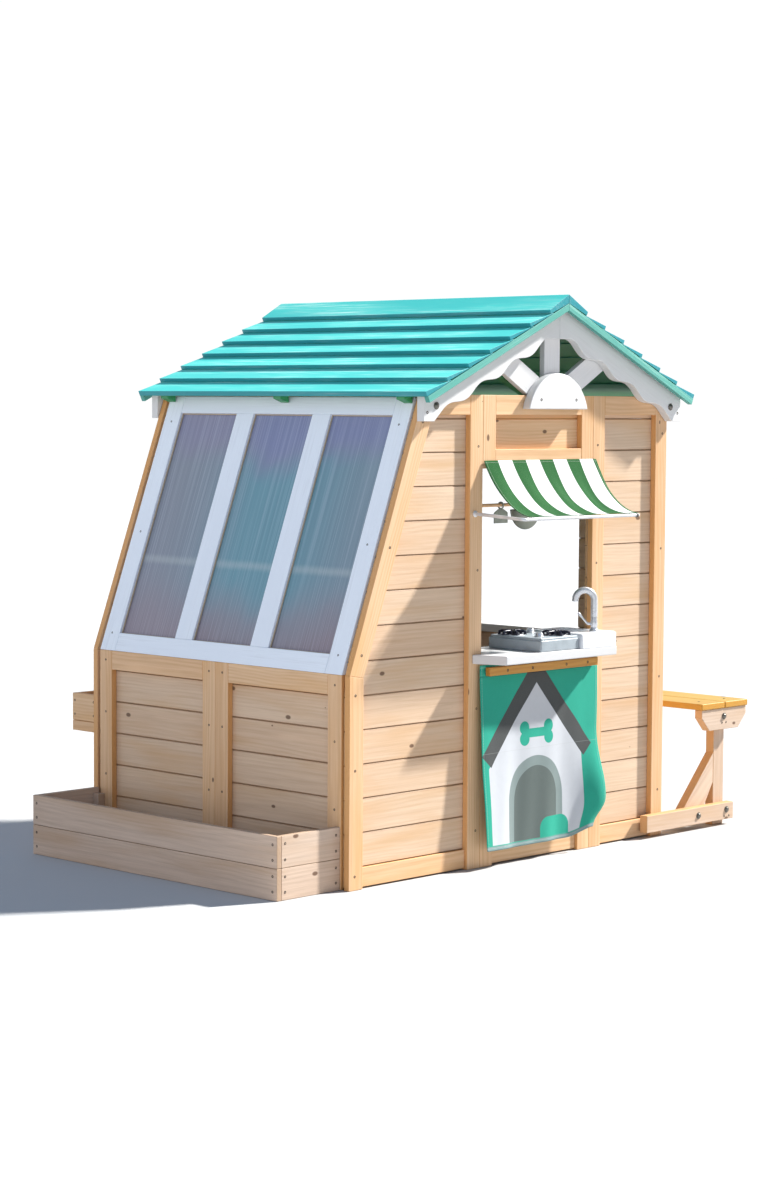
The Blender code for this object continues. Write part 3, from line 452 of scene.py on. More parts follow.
class Parts:
    """Turned, bent and moulded shapes gathered in one piece with one material."""

    def __init__(self, name, material, replaces=(), body="house", slot=None, angle=40.0):
        self.name = name
        self.material = material
        self.replaces = replaces
        self.body = body
        self.slot = slot
        self.angle = angle
        self.shape = bmesh.new()

    def take(self, shape, matrix=None):
        if matrix:
            bmesh.ops.transform(shape, matrix=matrix, verts=shape.verts)
        scratch = bpy.data.meshes.new("scratch")
        shape.to_mesh(scratch)
        shape.free()
        self.shape.from_mesh(scratch)
        bpy.data.meshes.remove(scratch)

    def turned(self, profile, place, axis=Z_WAY, segments=24):
        """A solid of revolution from (radius, height) points, standing on a place along an axis."""
        self.take(turned_shape(profile, segments), facing(place, axis))

    def tube(self, path, radius, sides=12, closed=False):
        self.take(tube_shape(path, radius, sides, closed))

    def prism(self, outline, axis, start, end, bevel=0.001, segments=3, least=0.5):
        shape = prism_shape(outline, axis, start, end)
        soften(shape, bevel, segments, least)
        self.take(shape)

    def bar(self, low, high, bevel=0.001, segments=3):
        outline = rectangle(low[0], low[1], high[0], high[1])
        self.prism(outline, "Z", low[2], high[2], bevel, segments)

    def make(self):
        mesh = bpy.data.meshes.new(self.name)
        bmesh.ops.translate(self.shape, verts=self.shape.verts, vec=HOUSE)
        self.shape.to_mesh(mesh)
        self.shape.free()
        mesh.materials.append(self.material)
        mesh.shade_smooth()
        mesh.set_sharp_from_angle(angle=math.radians(self.angle))
        obj = linked(self.name, mesh)
        return settle(obj, self.body, self.replaces)


def facing(place, axis):
    """Takes the origin to a place and Z to an axis."""
    return Matrix.Translation(place) @ Vector(axis).to_track_quat("Z", "Y").to_matrix().to_4x4()


def turned_shape(profile, segments=24):
    """A solid of revolution about Z from (radius, height) points."""
    shape = bmesh.new()
    rings = []
    for radius, z in profile:
        if radius == 0.0:
            rings.append([shape.verts.new((0, 0, z))])
            continue
        turns = [2 * math.pi * i / segments for i in range(segments)]
        rings.append([shape.verts.new((radius * math.cos(a), radius * math.sin(a), z)) for a in turns])
    for low, high in zip(rings, rings[1:]):
        for i in range(segments):
            j = (i + 1) % segments
            if len(low) == 1:
                shape.faces.new((low[0], high[j], high[i]))
            elif len(high) == 1:
                shape.faces.new((low[i], low[j], high[0]))
            else:
                shape.faces.new((low[i], low[j], high[j], high[i]))
    bmesh.ops.recalc_face_normals(shape, faces=shape.faces)
    return shape


def tube_shape(path, radius, sides=12, closed=False):
    """A round bar; radius is a number, or one for each point."""
    shape = bmesh.new()
    points = [Vector(p) for p in path]
    count = len(points)
    radii = radius if isinstance(radius, list) else [radius] * count
    rings = []
    side = None
    for i, point in enumerate(points):
        ahead = points[(i + 1) % count] if closed or i < count - 1 else point
        behind = points[i - 1] if closed or i > 0 else point
        tangent = (ahead - behind).normalized()
        if side is None:
            side = tangent.cross(Vector(Z_WAY) if abs(tangent.z) < 0.9 else Vector(X_WAY))
        side = (side - tangent * side.dot(tangent)).normalized()
        other = tangent.cross(side)
        ring = []
        for k in range(sides):
            a = 2 * math.pi * k / sides
            ring.append(shape.verts.new(point + radii[i] * (side * math.cos(a) + other * math.sin(a))))
        rings.append(ring)
    pairs = list(zip(rings, rings[1:])) + ([(rings[-1], rings[0])] if closed else [])
    for low, high in pairs:
        for k in range(sides):
            n = (k + 1) % sides
            shape.faces.new((low[k], low[n], high[n], high[k]))
    if not closed:
        shape.faces.new(rings[0])
        shape.faces.new(rings[-1])
    bmesh.ops.recalc_face_normals(shape, faces=shape.faces)
    return shape


def rounded(points, radius, steps=6):
    """The path with each inner corner replaced by a curve of the given reach."""
    points = [Vector(p) for p in points]
    path = [points[0]]
    for before, corner, after in zip(points, points[1:], points[2:]):
        start = corner + (before - corner).normalized() * radius
        end = corner + (after - corner).normalized() * radius
        for i in range(steps + 1):
            t = i / steps
            path.append((1 - t) ** 2 * start + 2 * t * (1 - t) * corner + t**2 * end)
    path.append(points[-1])
    return path


def rectangle(u0, v0, u1, v1):
    return [(u0, v0), (u1, v0), (u1, v1), (u0, v1)]


# ---------------------------------------------------------------- materials
# Each wood's fourth colour is its edge colour, painted light and shade on side faces: an amber glow of bounce
# light on the cedar, bench, seat and batten, and a darker shade on the planks, planter and beads.
CEDAR = wood("cedar", (0.76, 0.515, 0.315), (0.60, 0.36, 0.185), (0.68, 0.37, 0.14), (0.66, 0.31, 0.085))
PLANKS = wood(
    "cedar_planks",
    (0.70, 0.53, 0.385),
    (0.53, 0.365, 0.24),
    (0.60, 0.37, 0.185),
    (0.24, 0.115, 0.05),
    0.6,
    0.30,
    (0.50, 0.27, 0.09),
)
PLANTER = wood(
    "planter_wood",
    (0.66, 0.53, 0.435),
    (0.45, 0.34, 0.265),
    (0.50, 0.33, 0.20),
    (0.40, 0.26, 0.16),
    0.65,
    0.3,
)
BENCH = wood(
    "bench_wood", (0.66, 0.52, 0.415), (0.50, 0.36, 0.26), (0.56, 0.37, 0.22), (0.60, 0.30, 0.085), 0.6, 0.35
)
SEAT = wood(
    "seat_wood", (0.50, 0.33, 0.05), (0.40, 0.23, 0.03), (0.43, 0.245, 0.034), (0.62, 0.28, 0.04), 0.42
)
AMBER = wood(
    "batten_wood", (0.55, 0.29, 0.055), (0.39, 0.17, 0.026), (0.44, 0.21, 0.034), (0.46, 0.17, 0.03), 0.45
)
BEAD = wood("bead_wood", (0.55, 0.47, 0.38), (0.42, 0.35, 0.27), (0.46, 0.37, 0.26), (0.44, 0.36, 0.27), 0.5)
# Each paint's third colour is its edge colour: painted shade on side faces, and the colour of worn patches.
TEAL = painted(
    "teal_roof", (0.062, 0.64, 0.57), (0.62, 0.92, 0.83), (0.0, 0.17, 0.25), 0.5, 0.85, (0.035, 0.26, 0.13)
)
RAKE = painted("teal_rake", (0.11, 0.40, 0.34), (0.42, 0.74, 0.66), (0.05, 0.27, 0.24), 0.5, 0.7)
GREEN = painted("green_frame", (0.045, 0.36, 0.13), (0.13, 0.46, 0.25), (0.03, 0.22, 0.09), 0.5, 0.4)
PAINT = painted("white_paint", (0.76, 0.755, 0.765), (0.56, 0.56, 0.55), (0.60, 0.60, 0.61), 0.38, 0.35)
WINDOW_PAINT = painted("window_paint", (0.84, 0.90, 0.98), (0.66, 0.70, 0.77), (0.70, 0.76, 0.87), 0.4, 0.5)
STEEL = plain("screw_steel", (0.065, 0.052, 0.042), 0.45, 0.5)
BOLT = plain("bolt_steel", (0.20, 0.19, 0.17), 0.32, 0.85)
ZINC = plain("hinge_steel", (0.34, 0.34, 0.35), 0.35, 0.85)
SILVER = plain("silver_plastic", (0.66, 0.68, 0.72), 0.26, 0.55, 0.4, 0.015)
STOVE = plain("stove_grey", (0.36, 0.41, 0.45), 0.38)
BLACK = plain("black_plastic", (0.006, 0.008, 0.026), 0.3)
SINK = plain("white_plastic", (0.74, 0.76, 0.80), 0.28, 0.0, 0.3, 0.015)
UTENSIL = plain("utensil_grey", (0.30, 0.32, 0.27), 0.42, 0.1)
BAR = plain("awning_bar", (0.72, 0.73, 0.76), 0.35, 0.3)
END_CAP = plain("end_cap", (0.10, 0.09, 0.08), 0.5)

# Screws and bolts are gathered from all the boards. Their profiles are (radius, height) points.
SCREWS = Parts("screws", STEEL)
BOLTS = Parts("bolts", BOLT)
SCREW_HEAD = [(0.0, -0.0012), (0.0011, -0.0012), (0.0014, 0.0002), (0.0030, 0.0006), (0.0036, 0.0)]
WASHER = [(0.0, 0.0), (0.0098, 0.0), (0.0098, 0.0010), (0.0072, 0.0012)]
CAP = [(0.0070, 0.0030), (0.0058, 0.0048), (0.0032, 0.0058), (0.0, 0.0060)]
TACK = [(0, 0), (0.0062, 0), (0.0062, 0.0008), (0.0035, 0.0022), (0, 0.0026)]


def screw(place, axis, size=1.0):
    SCREWS.turned([(r * size, h * size) for r, h in SCREW_HEAD], place, axis, 14)


def bolt(place, axis):
    BOLTS.turned(WASHER + CAP, place, axis, 20)


def one_board(name, material, node, along, normal, bevel, slot=None):
    """A single board that fills its node's box. Returns the box."""
    low, high = local_box(node)
    timber = Timber(name, material, [node], slot=slot)
    timber.bar(low, high, along, normal, bevel, 3)
    timber.make()
    return low, high


# ---------------------------------------------------------------- walls
def lean_x(z):
    """How far the greenhouse wall has leaned in at a height."""
    return max(0.0, (z - KNEE) * math.tan(LEAN))


def wall_planks(name, axis, start, end, face, back, low, high, node, slant=False, hole=None, body="house"):
    """Horizontal planks with chamfered long edges, one board each; hole is a (u0, z0, u1, z1) opening."""
    timber = Timber(name, PLANKS, node, body)
    near, far = sorted((face, back))
    add_planks(timber, axis, start, end, near, far, low, high, slant, hole)
    timber.make()


def side_nodes(wall, side):
    """The nodes of a panel's frame and planks. A back panel is one node, which its frame stands for."""
    if wall == "back":
        return [f"back_{side}_panel"], ()
    return [f"{wall}_{side}_frame"], [f"{wall}_{side}_planks"]


def add_planks(timber, axis, start, end, near, far, low, high, slant=False, hole=None):
    normal = "Y" if axis == "X" else "X"
    grain = WAY[axis]
    z = PLANK_BASE - P
    while z < high:
        z0, z1 = max(low, z) + 0.0004, min(high, z + P) - 0.0004
        z += P
        if z1 - z0 < 0.003:
            continue
        spans = [(start, end)]
        if hole and z1 > hole[1] + 0.001 and z0 < hole[3] - 0.001:
            if z0 < hole[1] - 0.001:
                add_plank(timber, normal, grain, start, end, z0, hole[1], near, far, slant)
                z0 = hole[1] + 0.0005
            if z1 > hole[3] + 0.001:
                add_plank(timber, normal, grain, start, end, hole[3], z1, near, far, slant)
                z1 = hole[3] - 0.0005
            spans = [(start, hole[0]), (hole[2], end)]
        for u0, u1 in spans:
            add_plank(timber, normal, grain, u0, u1, z0, z1, near, far, slant)


def add_plank(timber, normal, grain, u0, u1, z0, z1, near, far, slant):
    lift = DICE.uniform(-0.0001, 0.0001)
    edge = 0.006
    left0 = max(u0, lean_x(z0) + edge) if slant else u0
    left1 = max(u0, lean_x(z1) + edge) if slant else u0
    outline = [(left0, z0), (u1, z0), (u1, z1), (left1, z1)]
    timber.prism(outline, normal, near + lift, far + lift, grain, bevel=0.0024, segments=1)


def wall_frame(timber, axis, spans, face, into, top, bottom_rails=True, rail=TOP_RAIL, thick=FRAME_T):
    """Stiles at the ends of each (u0, u1) span, and the top and bottom rails between them."""
    for u0, u1 in spans:
        stile(timber, axis, u0, u0 + STILE, 0.0, top, face, into, thick)
        stile(timber, axis, u1 - STILE, u1, 0.0, top, face, into, thick)
        cross(timber, axis, u0 + STILE, u1 - STILE, top - rail, top, face, into, thick)
        if bottom_rails:
            foot(timber, axis, u0 + STILE, u1 - STILE, face, into, thick)


def slab(timber, axis, u0, u1, z0, z1, face, into, thick, along, bevel=FRAME_EDGE):
    """A frame board from u0 to u1 along the wall, its outer side on the face."""
    near, far = sorted((face, face + into * thick))
    gap = 0.0002
    if axis == "X":
        low, high = (u0 + gap, near, z0), (u1 - gap, far, z1)
        normal = Y_WAY
    else:
        low, high = (near, u0 + gap, z0), (far, u1 - gap, z1)
        normal = X_WAY
    timber.bar(low, high, along, normal, bevel)


def stile(timber, axis, u0, u1, z0, z1, face, into, thick=FRAME_T):
    slab(timber, axis, u0, u1, z0, z1, face, into, thick, Z_WAY)


def cross(timber, axis, u0, u1, z0, z1, face, into, thick=FRAME_T):
    """A level rail, set back from the face by less than half a millimetre."""
    shift = DICE.uniform(0.0, 0.0004)
    along = WAY[axis]
    slab(timber, axis, u0, u1, z0, z1, face + into * shift, into, thick - shift, along)


def foot(timber, axis, u0, u1, face, into, thick=FRAME_T):
    """The bottom rail, set back from the stiles."""
    set_back = RAIL_SET_BACK
    along = WAY[axis]
    slab(timber, axis, u0, u1, RAIL_LIFT, PLANK_BASE, face + into * set_back, into, thick - set_back, along)


def gable_side(wall, face, into):
    """The side panel with the leaning corner post."""
    frame_node, plank_node = side_nodes(wall, "left")
    timber = Timber(wall + "_left_stiles", CEDAR, frame_node)
    near, far = sorted((face, face + into * FRAME_T))
    width = STILE / math.cos(LEAN)
    knee = KNEE + (STILE - width) / math.tan(LEAN)
    timber.prism([(0, 0), (STILE, 0), (STILE, knee), (0, KNEE)], "Y", near, far, Z_WAY, FRAME_EDGE)
    lean = (math.sin(LEAN), 0, math.cos(LEAN))
    upper = [(0, KNEE + GAP), (STILE, knee + GAP), (lean_x(WALL_H) + width, WALL_H), (lean_x(WALL_H), WALL_H)]
    timber.prism(upper, "Y", near, far, lean, FRAME_EDGE)
    stile(timber, "X", BAY_START - STILE, BAY_START, 0.0, WALL_H, face, into)
    rail_low = WALL_H - TOP_RAIL
    start = lean_x(rail_low) + width + GAP
    end = BAY_START - STILE - GAP
    rail = [(start, rail_low), (end, rail_low), (end, WALL_H), (lean_x(WALL_H) + width + GAP, WALL_H)]
    timber.prism(rail, "Y", near, far, X_WAY, FRAME_EDGE)
    foot(timber, "X", STILE, BAY_START - STILE, face, into)
    timber.make()
    inner, outer = face + into * (FRAME_T + GAP), face + into * WALL_T
    planks = (0.002, BAY_START - 0.002, inner, outer, RAIL_LIFT, WALL_H)
    wall_planks(wall + "_left_boards", "X", *planks, plank_node, slant=True)
    out = (0, -into, 0)
    for z in (0.035, 0.30, KNEE - 0.05):
        screw((STILE * 0.42, face, z), out)
    for t in (0.07, 0.45, 0.9):
        z = KNEE + (WALL_H - KNEE) * t
        screw((lean_x(z) + width * 0.45, face, z), out)
    for z in STILE_SCREWS:
        screw((BAY_START - STILE * 0.35, face, z), out, 0.9)


def straight_side(wall, face, into):
    """The side panel on the bench's side."""
    frame_node, plank_node = side_nodes(wall, "right")
    timber = Timber(wall + "_right_stiles", CEDAR, frame_node)
    wall_frame(timber, "X", [(BAY_END, WALL_W)], face, into, WALL_H)
    timber.make()
    inner, outer = face + into * (FRAME_T + GAP), face + into * WALL_T
    planks = (BAY_END + 0.002, WALL_W - 0.002, inner, outer, RAIL_LIFT, WALL_H)
    wall_planks(wall + "_right_boards", "X", *planks, plank_node)
    out = (0, -into, 0)
    for z in STILE_SCREWS:
        screw((BAY_END + STILE * 0.4, face, z), out, 0.9)
        screw((WALL_W - STILE * 0.4, face, z + 0.03), out, 0.9)


def header(wall, face, into):
    """The panel over the kitchen window or the doorway."""
    timber = Timber(wall + "_header_panel", CEDAR, [wall + "_header"])
    u0, u1 = BAY_START + GAP, BAY_END - GAP
    stile(timber, "X", u0, u0 + STILE, HEADER_BOTTOM, WALL_H, face, into)
    stile(timber, "X", u1 - STILE, u1, HEADER_BOTTOM, WALL_H, face, into)
    cross(timber, "X", u0 + STILE, u1 - STILE, WALL_H - TOP_RAIL, WALL_H, face, into)
    cross(timber, "X", u0 + STILE, u1 - STILE, HEADER_BOTTOM, HEADER_BOTTOM + STILE, face, into)
    near, far = sorted((face + into * (FRAME_T + GAP), face + into * WALL_T))
    add_planks(timber, "X", u0 + 0.002, u1 - 0.002, near, far, HEADER_BOTTOM + 0.002, WALL_H)
    timber.make()


def make_gable_walls():
    for wall, face, into in (("kitchen", 0.0, 1), ("back", DEPTH, -1)):
        gable_side(wall, face, into)
        straight_side(wall, face, into)
        header(wall, face, into)
    base = Timber("kitchen_base_stiles", CEDAR, ["kitchen_base_frame"])
    u0, u1, top = BAY_START + GAP, BAY_END - GAP, KNEE - GAP
    wall_frame(base, "X", [(u0, u1)], 0.0, 1, top, True, STILE, WALL_T)
    base.make()


def make_greenhouse_wall():
    start, end = INSIDE
    middle = (start + end) / 2
    timber = Timber("greenhouse_stiles", CEDAR, ["greenhouse_frame"])
    wall_frame(timber, "Y", [(start, middle), (middle, end)], 0.0, 1, KNEE)
    timber.make()
    planks = (start + 0.001, end - 0.001, FRAME_T + GAP, WALL_T, RAIL_LIFT, KNEE)
    wall_planks("greenhouse_boards", "Y", *planks, ["greenhouse_planks"])
    for y in (start + 0.024, middle - 0.027, middle + 0.024, end - 0.024):
        for z in (KNEE - 0.026, 0.37, 0.20):
            screw((0.0, y, z), (-1, 0, 0), 0.85)


def make_bench_wall():
    """The wall behind the bench, with the snack counter in its opening."""
    start, end = INSIDE
    side = Timber("bench_wall_stiles", CEDAR, ["bench_wall_frame"])
    wall_frame(side, "Y", [(start, SNACK_START), (SNACK_END, end)], WALL_W, -1, WALL_H)
    for z0, z1 in ((KNEE - STILE, KNEE), (SNACK_TOP, SNACK_TOP + STILE), (WALL_H - TOP_RAIL, WALL_H)):
        cross(side, "Y", SNACK_START, SNACK_END, z0, z1, WALL_W, -1)
    foot(side, "Y", SNACK_START, SNACK_END, WALL_W, -1)
    side.make()
    hole = (SNACK_START, KNEE, SNACK_END, SNACK_TOP)
    planks = (start + 0.001, end - 0.001, WALL_W - FRAME_T - GAP, WALL_W - WALL_T, RAIL_LIFT, WALL_H)
    wall_planks("bench_wall_boards", "Y", *planks, ["bench_wall_planks"], hole=hole)
    for y in (start + 0.02, SNACK_START - 0.024, SNACK_END + 0.024, end - 0.02):
        for z in STILE_SCREWS:
            screw((WALL_W, y, z), X_WAY, 0.9)
    one_board("snack_counter_board", PAINT, "snack_counter", Y_WAY, Z_WAY, 0.003)


# ---------------------------------------------------------------- greenhouse window
def on_glazing(along, depth):
    """The (X, Z) of a point so far up the leaning wall and so deep in it."""
    x = along * math.sin(LEAN) + depth * math.cos(LEAN)
    return x, KNEE + along * math.cos(LEAN) - depth * math.sin(LEAN)


def tilted(shape):
    """Takes a shape from (depth, Y, along) space onto the leaning wall."""
    for v in shape.verts:
        x, z = on_glazing(v.co.z, v.co.x)
        v.co.x, v.co.z = x, z
    return shape


def make_window():
    start, end = INSIDE
    mullion, pane_w = 0.78 * P, 2.61 * P
    side = (end - start - 3 * pane_w - 2 * mullion) / 2
    sill, head, top = 0.60 * P, 7.98 * P, 8.0 * P / math.cos(LEAN)
    lean = (math.sin(LEAN), 0, math.cos(LEAN))
    normal = (math.cos(LEAN), 0, -math.sin(LEAN))
    deep = 0.0265
    window = Timber("window_frame_boards", WINDOW_PAINT, ["window_frame"])
    beads = Timber("window_beads", BEAD)

    def member(y0, y1, s0, s1, along, near=0.0, timber=window, far=deep, bevel=WINDOW_EDGE):
        shape = prism_shape(rectangle(near, y0, far, y1), "Z", s0, s1)
        soften(shape, bevel, 3)
        timber.board(tilted(shape), along, normal)

    def footed(y0, y1, s1, along):
        """A member whose lower end is cut level where it meets the low wall."""
        low = KNEE + GAP
        back = (GAP + deep * math.sin(LEAN)) / math.cos(LEAN)
        outline = [(GAP * math.tan(LEAN), low)]
        outline += [on_glazing(s1, 0.0), on_glazing(s1, deep), on_glazing(back, deep)]
        shape = prism_shape(outline, "Y", y0, y1)
        soften(shape, WINDOW_EDGE, 3)
        window.board(shape, along, normal)

    footed(start, start + side, top, lean)
    footed(end - side, end, top, lean)
    footed(start + side + GAP, end - side - GAP, sill - 0.0002, Y_WAY)
    for i in (1, 2):
        y0 = start + side + i * pane_w + (i - 1) * mullion
        member(y0, y0 + mullion, sill, head, lean, 0.0004)
    member(start + side + GAP, end - side - GAP, head, top, Y_WAY, 0.0002)
    window.make()
    bead, near, far = 0.0026, 0.0060, 0.0098
    for i in range(3):
        y0 = start + side + i * (pane_w + mullion) + 0.0002
        y1 = y0 + pane_w - 0.0004
        member(y0, y1, sill + 0.0002, sill + bead, Y_WAY, near, beads, far, 0.001)
        member(y0, y1, head - bead, head - 0.0002, Y_WAY, near, beads, far, 0.001)
        member(y0, y0 + bead, sill + bead, head - bead, lean, near, beads, far, 0.001)
        member(y1 - bead, y1, sill + bead, head - bead, lean, near, beads, far, 0.001)
    beads.make()

    for i, place in enumerate(("front", "middle", "rear")):
        y0 = start + side + i * (pane_w + mullion)
        make_pane("window_flutes_" + place, y0 + GAP, y0 + pane_w - GAP, sill + GAP, head - GAP, place)
    for y in (start + side * 0.5, end - side * 0.5):
        for s in (0.05, 0.34, 0.66):
            x, z = on_glazing(s, 0.0)
            screw((x, y, z), (-math.cos(LEAN), 0, math.sin(LEAN)), 0.8)


def make_pane(name, y0, y1, s0, s1, place):
    """A fluted sheet, drawn with an opaque material: fine ribs run up the slope on both faces."""
    pitch, rib, near, far = 0.0062, 0.0004, 0.0102, 0.0137
    count = round((y1 - y0) / pitch)
    step = (y1 - y0) / count
    front, back = [], []
    for i in range(count * 4 + 1):
        y = y0 + step * i / 4
        wave = rib * (0.5 + 0.5 * math.cos(2 * math.pi * i / 4))
        front.append((near - wave + rib, y))
        back.append((far - rib + wave, y))
    shape = prism_shape(front + back[::-1], "Z", s0, s1)
    part = Parts(name, PANE, ["window_pane_" + place], slot="frosted_pane", angle=80.0)
    part.take(tilted(shape))
    part.make()


def pane_material():
    """Twin-wall polycarbonate: slate blue, with soft colour bands that are painted reflections, a painted
    glare line, and light and dark streaks along the flutes that are painted highlights and shade.
    """
    s = Shader("frosted_pane")
    x, y, z = s.split(s.node("ShaderNodeTexCoord").outputs["Object"])
    drift = s.noise(s.vector(s.mul(x, 1.2), s.mul(y, 2.2), s.mul(z, 2.2)), 1.0, 3.0, 0.6)
    wander = s.mul(s.sub(drift, 0.5), 0.22)
    middle = s.between(s.math("ABSOLUTE", s.sub(y, 0.02)), 0.08, 0.42, 1.0, 0.0)
    height = s.add(z, s.add(wander, s.mul(middle, 0.035)))
    rear = s.between(y, 0.06, 0.26)
    # Painted reflections: the colour bands by height, the teal band in the middle and the mauve toward the
    # rear.
    color = s.mix(s.between(height, 0.58, 0.76), (0.25, 0.20, 0.235), (0.215, 0.26, 0.32))
    teal = s.mul(s.between(height, 0.68, 0.80), s.between(height, 1.06, 1.14, 1.0, 0.0))
    color = s.mix(s.mul(teal, s.add(0.25, s.mul(middle, 0.70))), color, (0.13, 0.31, 0.385))
    color = s.mix(s.between(height, 1.05, 1.15), color, (0.205, 0.235, 0.405))
    color = s.mix(s.mul(rear, 0.45), color, (0.30, 0.265, 0.315))
    # A painted glare line across the sheet.
    glare = s.math("ABSOLUTE", s.sub(s.add(z, s.mul(drift, 0.02)), 0.795))
    color = s.mix(s.mul(s.between(glare, 0.0, 0.017, 1.0, 0.0), 0.26), color, (0.62, 0.66, 0.66))
    # Painted highlights and shade: light and dark streaks along the flutes.
    streak = s.noise(s.vector(0.0, s.mul(y, 240.0), s.mul(z, 1.5)), 1.0, 3.0, 0.6)
    color = s.mix(s.mul(s.between(streak, 0.46, 0.66), 0.20), color, (0.55, 0.60, 0.72))
    color = s.mix(s.mul(s.between(streak, 0.50, 0.36), 0.12), color, (0.10, 0.11, 0.17))
    s.set(color=color, rough=s.between(drift, 0.3, 0.7, 0.34, 0.48), coat=0.10, spec=0.5)
    s.bump(streak, 0.0003, 0.4)
    return s.material


# ---------------------------------------------------------------- roof
def down_slope(side):
    """The direction from the ridge to the eaves on one side."""
    return side * math.cos(PITCH), 0, -math.sin(PITCH)


def on_roof(along, out, side):
    """The (X, Z) of a point so far down a slope and so far out of it."""
    x = along * math.cos(PITCH) + out * math.sin(PITCH)
    return RIDGE_X + side * x, RIDGE_LINE - along * math.sin(PITCH) + out * math.cos(PITCH)


def ridge_point(out, side, gap=0.0):
    """The (X, Z) where that layer of a slope meets the ridge's middle plane, or a gap before it."""
    return RIDGE_X + side * gap, RIDGE_LINE + out / math.cos(PITCH)


def make_slats():
    """Lapped slats, each a little out of line with the next; the first on a side meets the ridge."""
    low, high = local_box("roof_slats_left")
    for name, side in (("left", -1.0), ("right", 1.0)):
        timber = Timber("roof_boards_" + name, TEAL, ["roof_slats_" + name], slot="teal_roof")
        outward = Vector(down_slope(side)).cross(Vector(Y_WAY))
        for i in range(1, SLATS + 1):
            lower = i * SLAT_STEP
            thick = 0.0112 if i < SLATS else SLAT_UNDER - 0.0002
            if i == 1:
                upper = [(RIDGE_X + side * GAP, RIDGE_TOP), ridge_point(-SLAT_UNDER, side, GAP)]
            else:
                back = lower - SLAT_STEP - 0.012
                upper = [on_roof(back, -SLAT_BUTT - 0.0016, side), on_roof(back, -SLAT_UNDER + 0.0002, side)]
            butt = lower + DICE.uniform(-0.0006, 0.0004)
            outline = [upper[0], on_roof(butt, 0.0, side), on_roof(butt, -thick, side), upper[1]]
            trim0, trim1 = DICE.uniform(0.0002, 0.003), DICE.uniform(0.0002, 0.003)
            shape = prism_shape(outline, "Y", low.y + trim0, high.y - trim1)
            soften(shape, 0.0012, 2)
            timber.board(shape, Y_WAY, outward)
        timber.make()


def make_gable_boards():
    """The teal rake boards and the scalloped white bargeboards at both ends of the roof."""
    top = -SLAT_UNDER - GAP
    for place in ("front", "back"):
        outward = -1 if place == "front" else 1
        low, high = local_box("rake_board_" + place)
        rake = Timber("rake_boards_" + place, RAKE, ["rake_board_" + place], slot="teal_roof")
        for side in (-1.0, 1.0):
            end = SLATS * SLAT_STEP - 0.002
            lower = -0.37 * P
            outline = [ridge_point(top, side, 0.0002), on_roof(end, top, side)]
            outline += [on_roof(end, lower, side), ridge_point(lower, side, 0.0002)]
            rake.prism(outline, "Y", low.y, high.y, down_slope(side), 0.001, tone=0.1)
        rake.make()
        low, high = local_box("bargeboard_" + place)
        barge = Timber("bargeboards_" + place, PAINT, ["bargeboard_" + place])
        for side in (-1.0, 1.0):
            outline = barge_outline(side, top)
            shape = prism_shape(outline, "Y", low.y, high.y)
            soften(shape, 0.0014, 3)
            barge.board(shape, down_slope(side), Y_WAY)
        barge.make()
        face = low.y if place == "front" else high.y
        for side in (-1.0, 1.0):
            bolt((RIDGE_X + side * 5.55 * P, face, 14.0 * P), (0, outward, 0))
            screw((RIDGE_X + side * 5.93 * P, face, 13.80 * P), (0, outward, 0), 1.1)


def barge_outline(side, top):
    """Straight along the roof and at the foot, and wavy along its lower edge."""
    wave, first, last, steps = 1.6 * P, 1.15 * P, 6.25 * P, 64
    end_x, end_z = 6.08 * P, 13.54 * P
    run = (end_x - top * math.sin(PITCH)) / math.cos(PITCH)
    outline = [ridge_point(top, side, GAP), on_roof(run, top, side), (RIDGE_X + side * end_x, end_z)]
    outline.append((RIDGE_X + side * (end_x - 0.45 * P), end_z))
    for i in range(steps, -1, -1):
        along = first + (last - first) * i / steps
        out = (-0.99 + 0.095 * math.cos(2 * math.pi * (along - first) / wave)) * P
        outline.append(on_roof(along, out, side))
    outline += [(RIDGE_X + side * 0.55 * P, 16.07 * P), (RIDGE_X + side * GAP, 16.07 * P)]
    return outline


def make_rafters():
    """Three pairs of rafters, with the ridge beam between them."""
    top = -SLAT_UNDER - GAP
    depth, seat, tail_start = -0.52 * P, WALL_H + GAP, 5.90 * P
    width = 0.33 * P
    run = (RIDGE_LINE + depth / math.cos(PITCH) - seat) / math.tan(PITCH)
    starts = (INSIDE[0], (sum(INSIDE) - width) / 2, INSIDE[1] - width)
    timber = Timber("rafter_boards", GREEN, ["roof_frame"], slot="green_frame")
    for start in starts:
        for side in (-1.0, 1.0):
            tip = on_roof(6.95 * P, top, side)
            outline = [ridge_point(top, side, width / 2 + GAP), tip, (tip[0], tip[1] - 0.10 * P)]
            outline[0] = (outline[0][0], outline[0][1] - width / 2 * math.tan(PITCH))
            outline += [(RIDGE_X + side * tail_start, 14.06 * P), (RIDGE_X + side * tail_start, seat)]
            outline += [(RIDGE_X + side * run, seat)]
            foot_z = RIDGE_LINE + depth / math.cos(PITCH) - width / 2 * math.tan(PITCH)
            outline.append((RIDGE_X + side * (width / 2 + GAP), foot_z))
            timber.prism(outline, "Y", start, start + width, down_slope(side))
    beam_low = (RIDGE_X - width / 2, starts[0], 16.15 * P)
    beam_high = (RIDGE_X + width / 2, starts[2] + width, 16.9 * P)
    timber.bar(beam_low, beam_high, Y_WAY, X_WAY)
    timber.make()


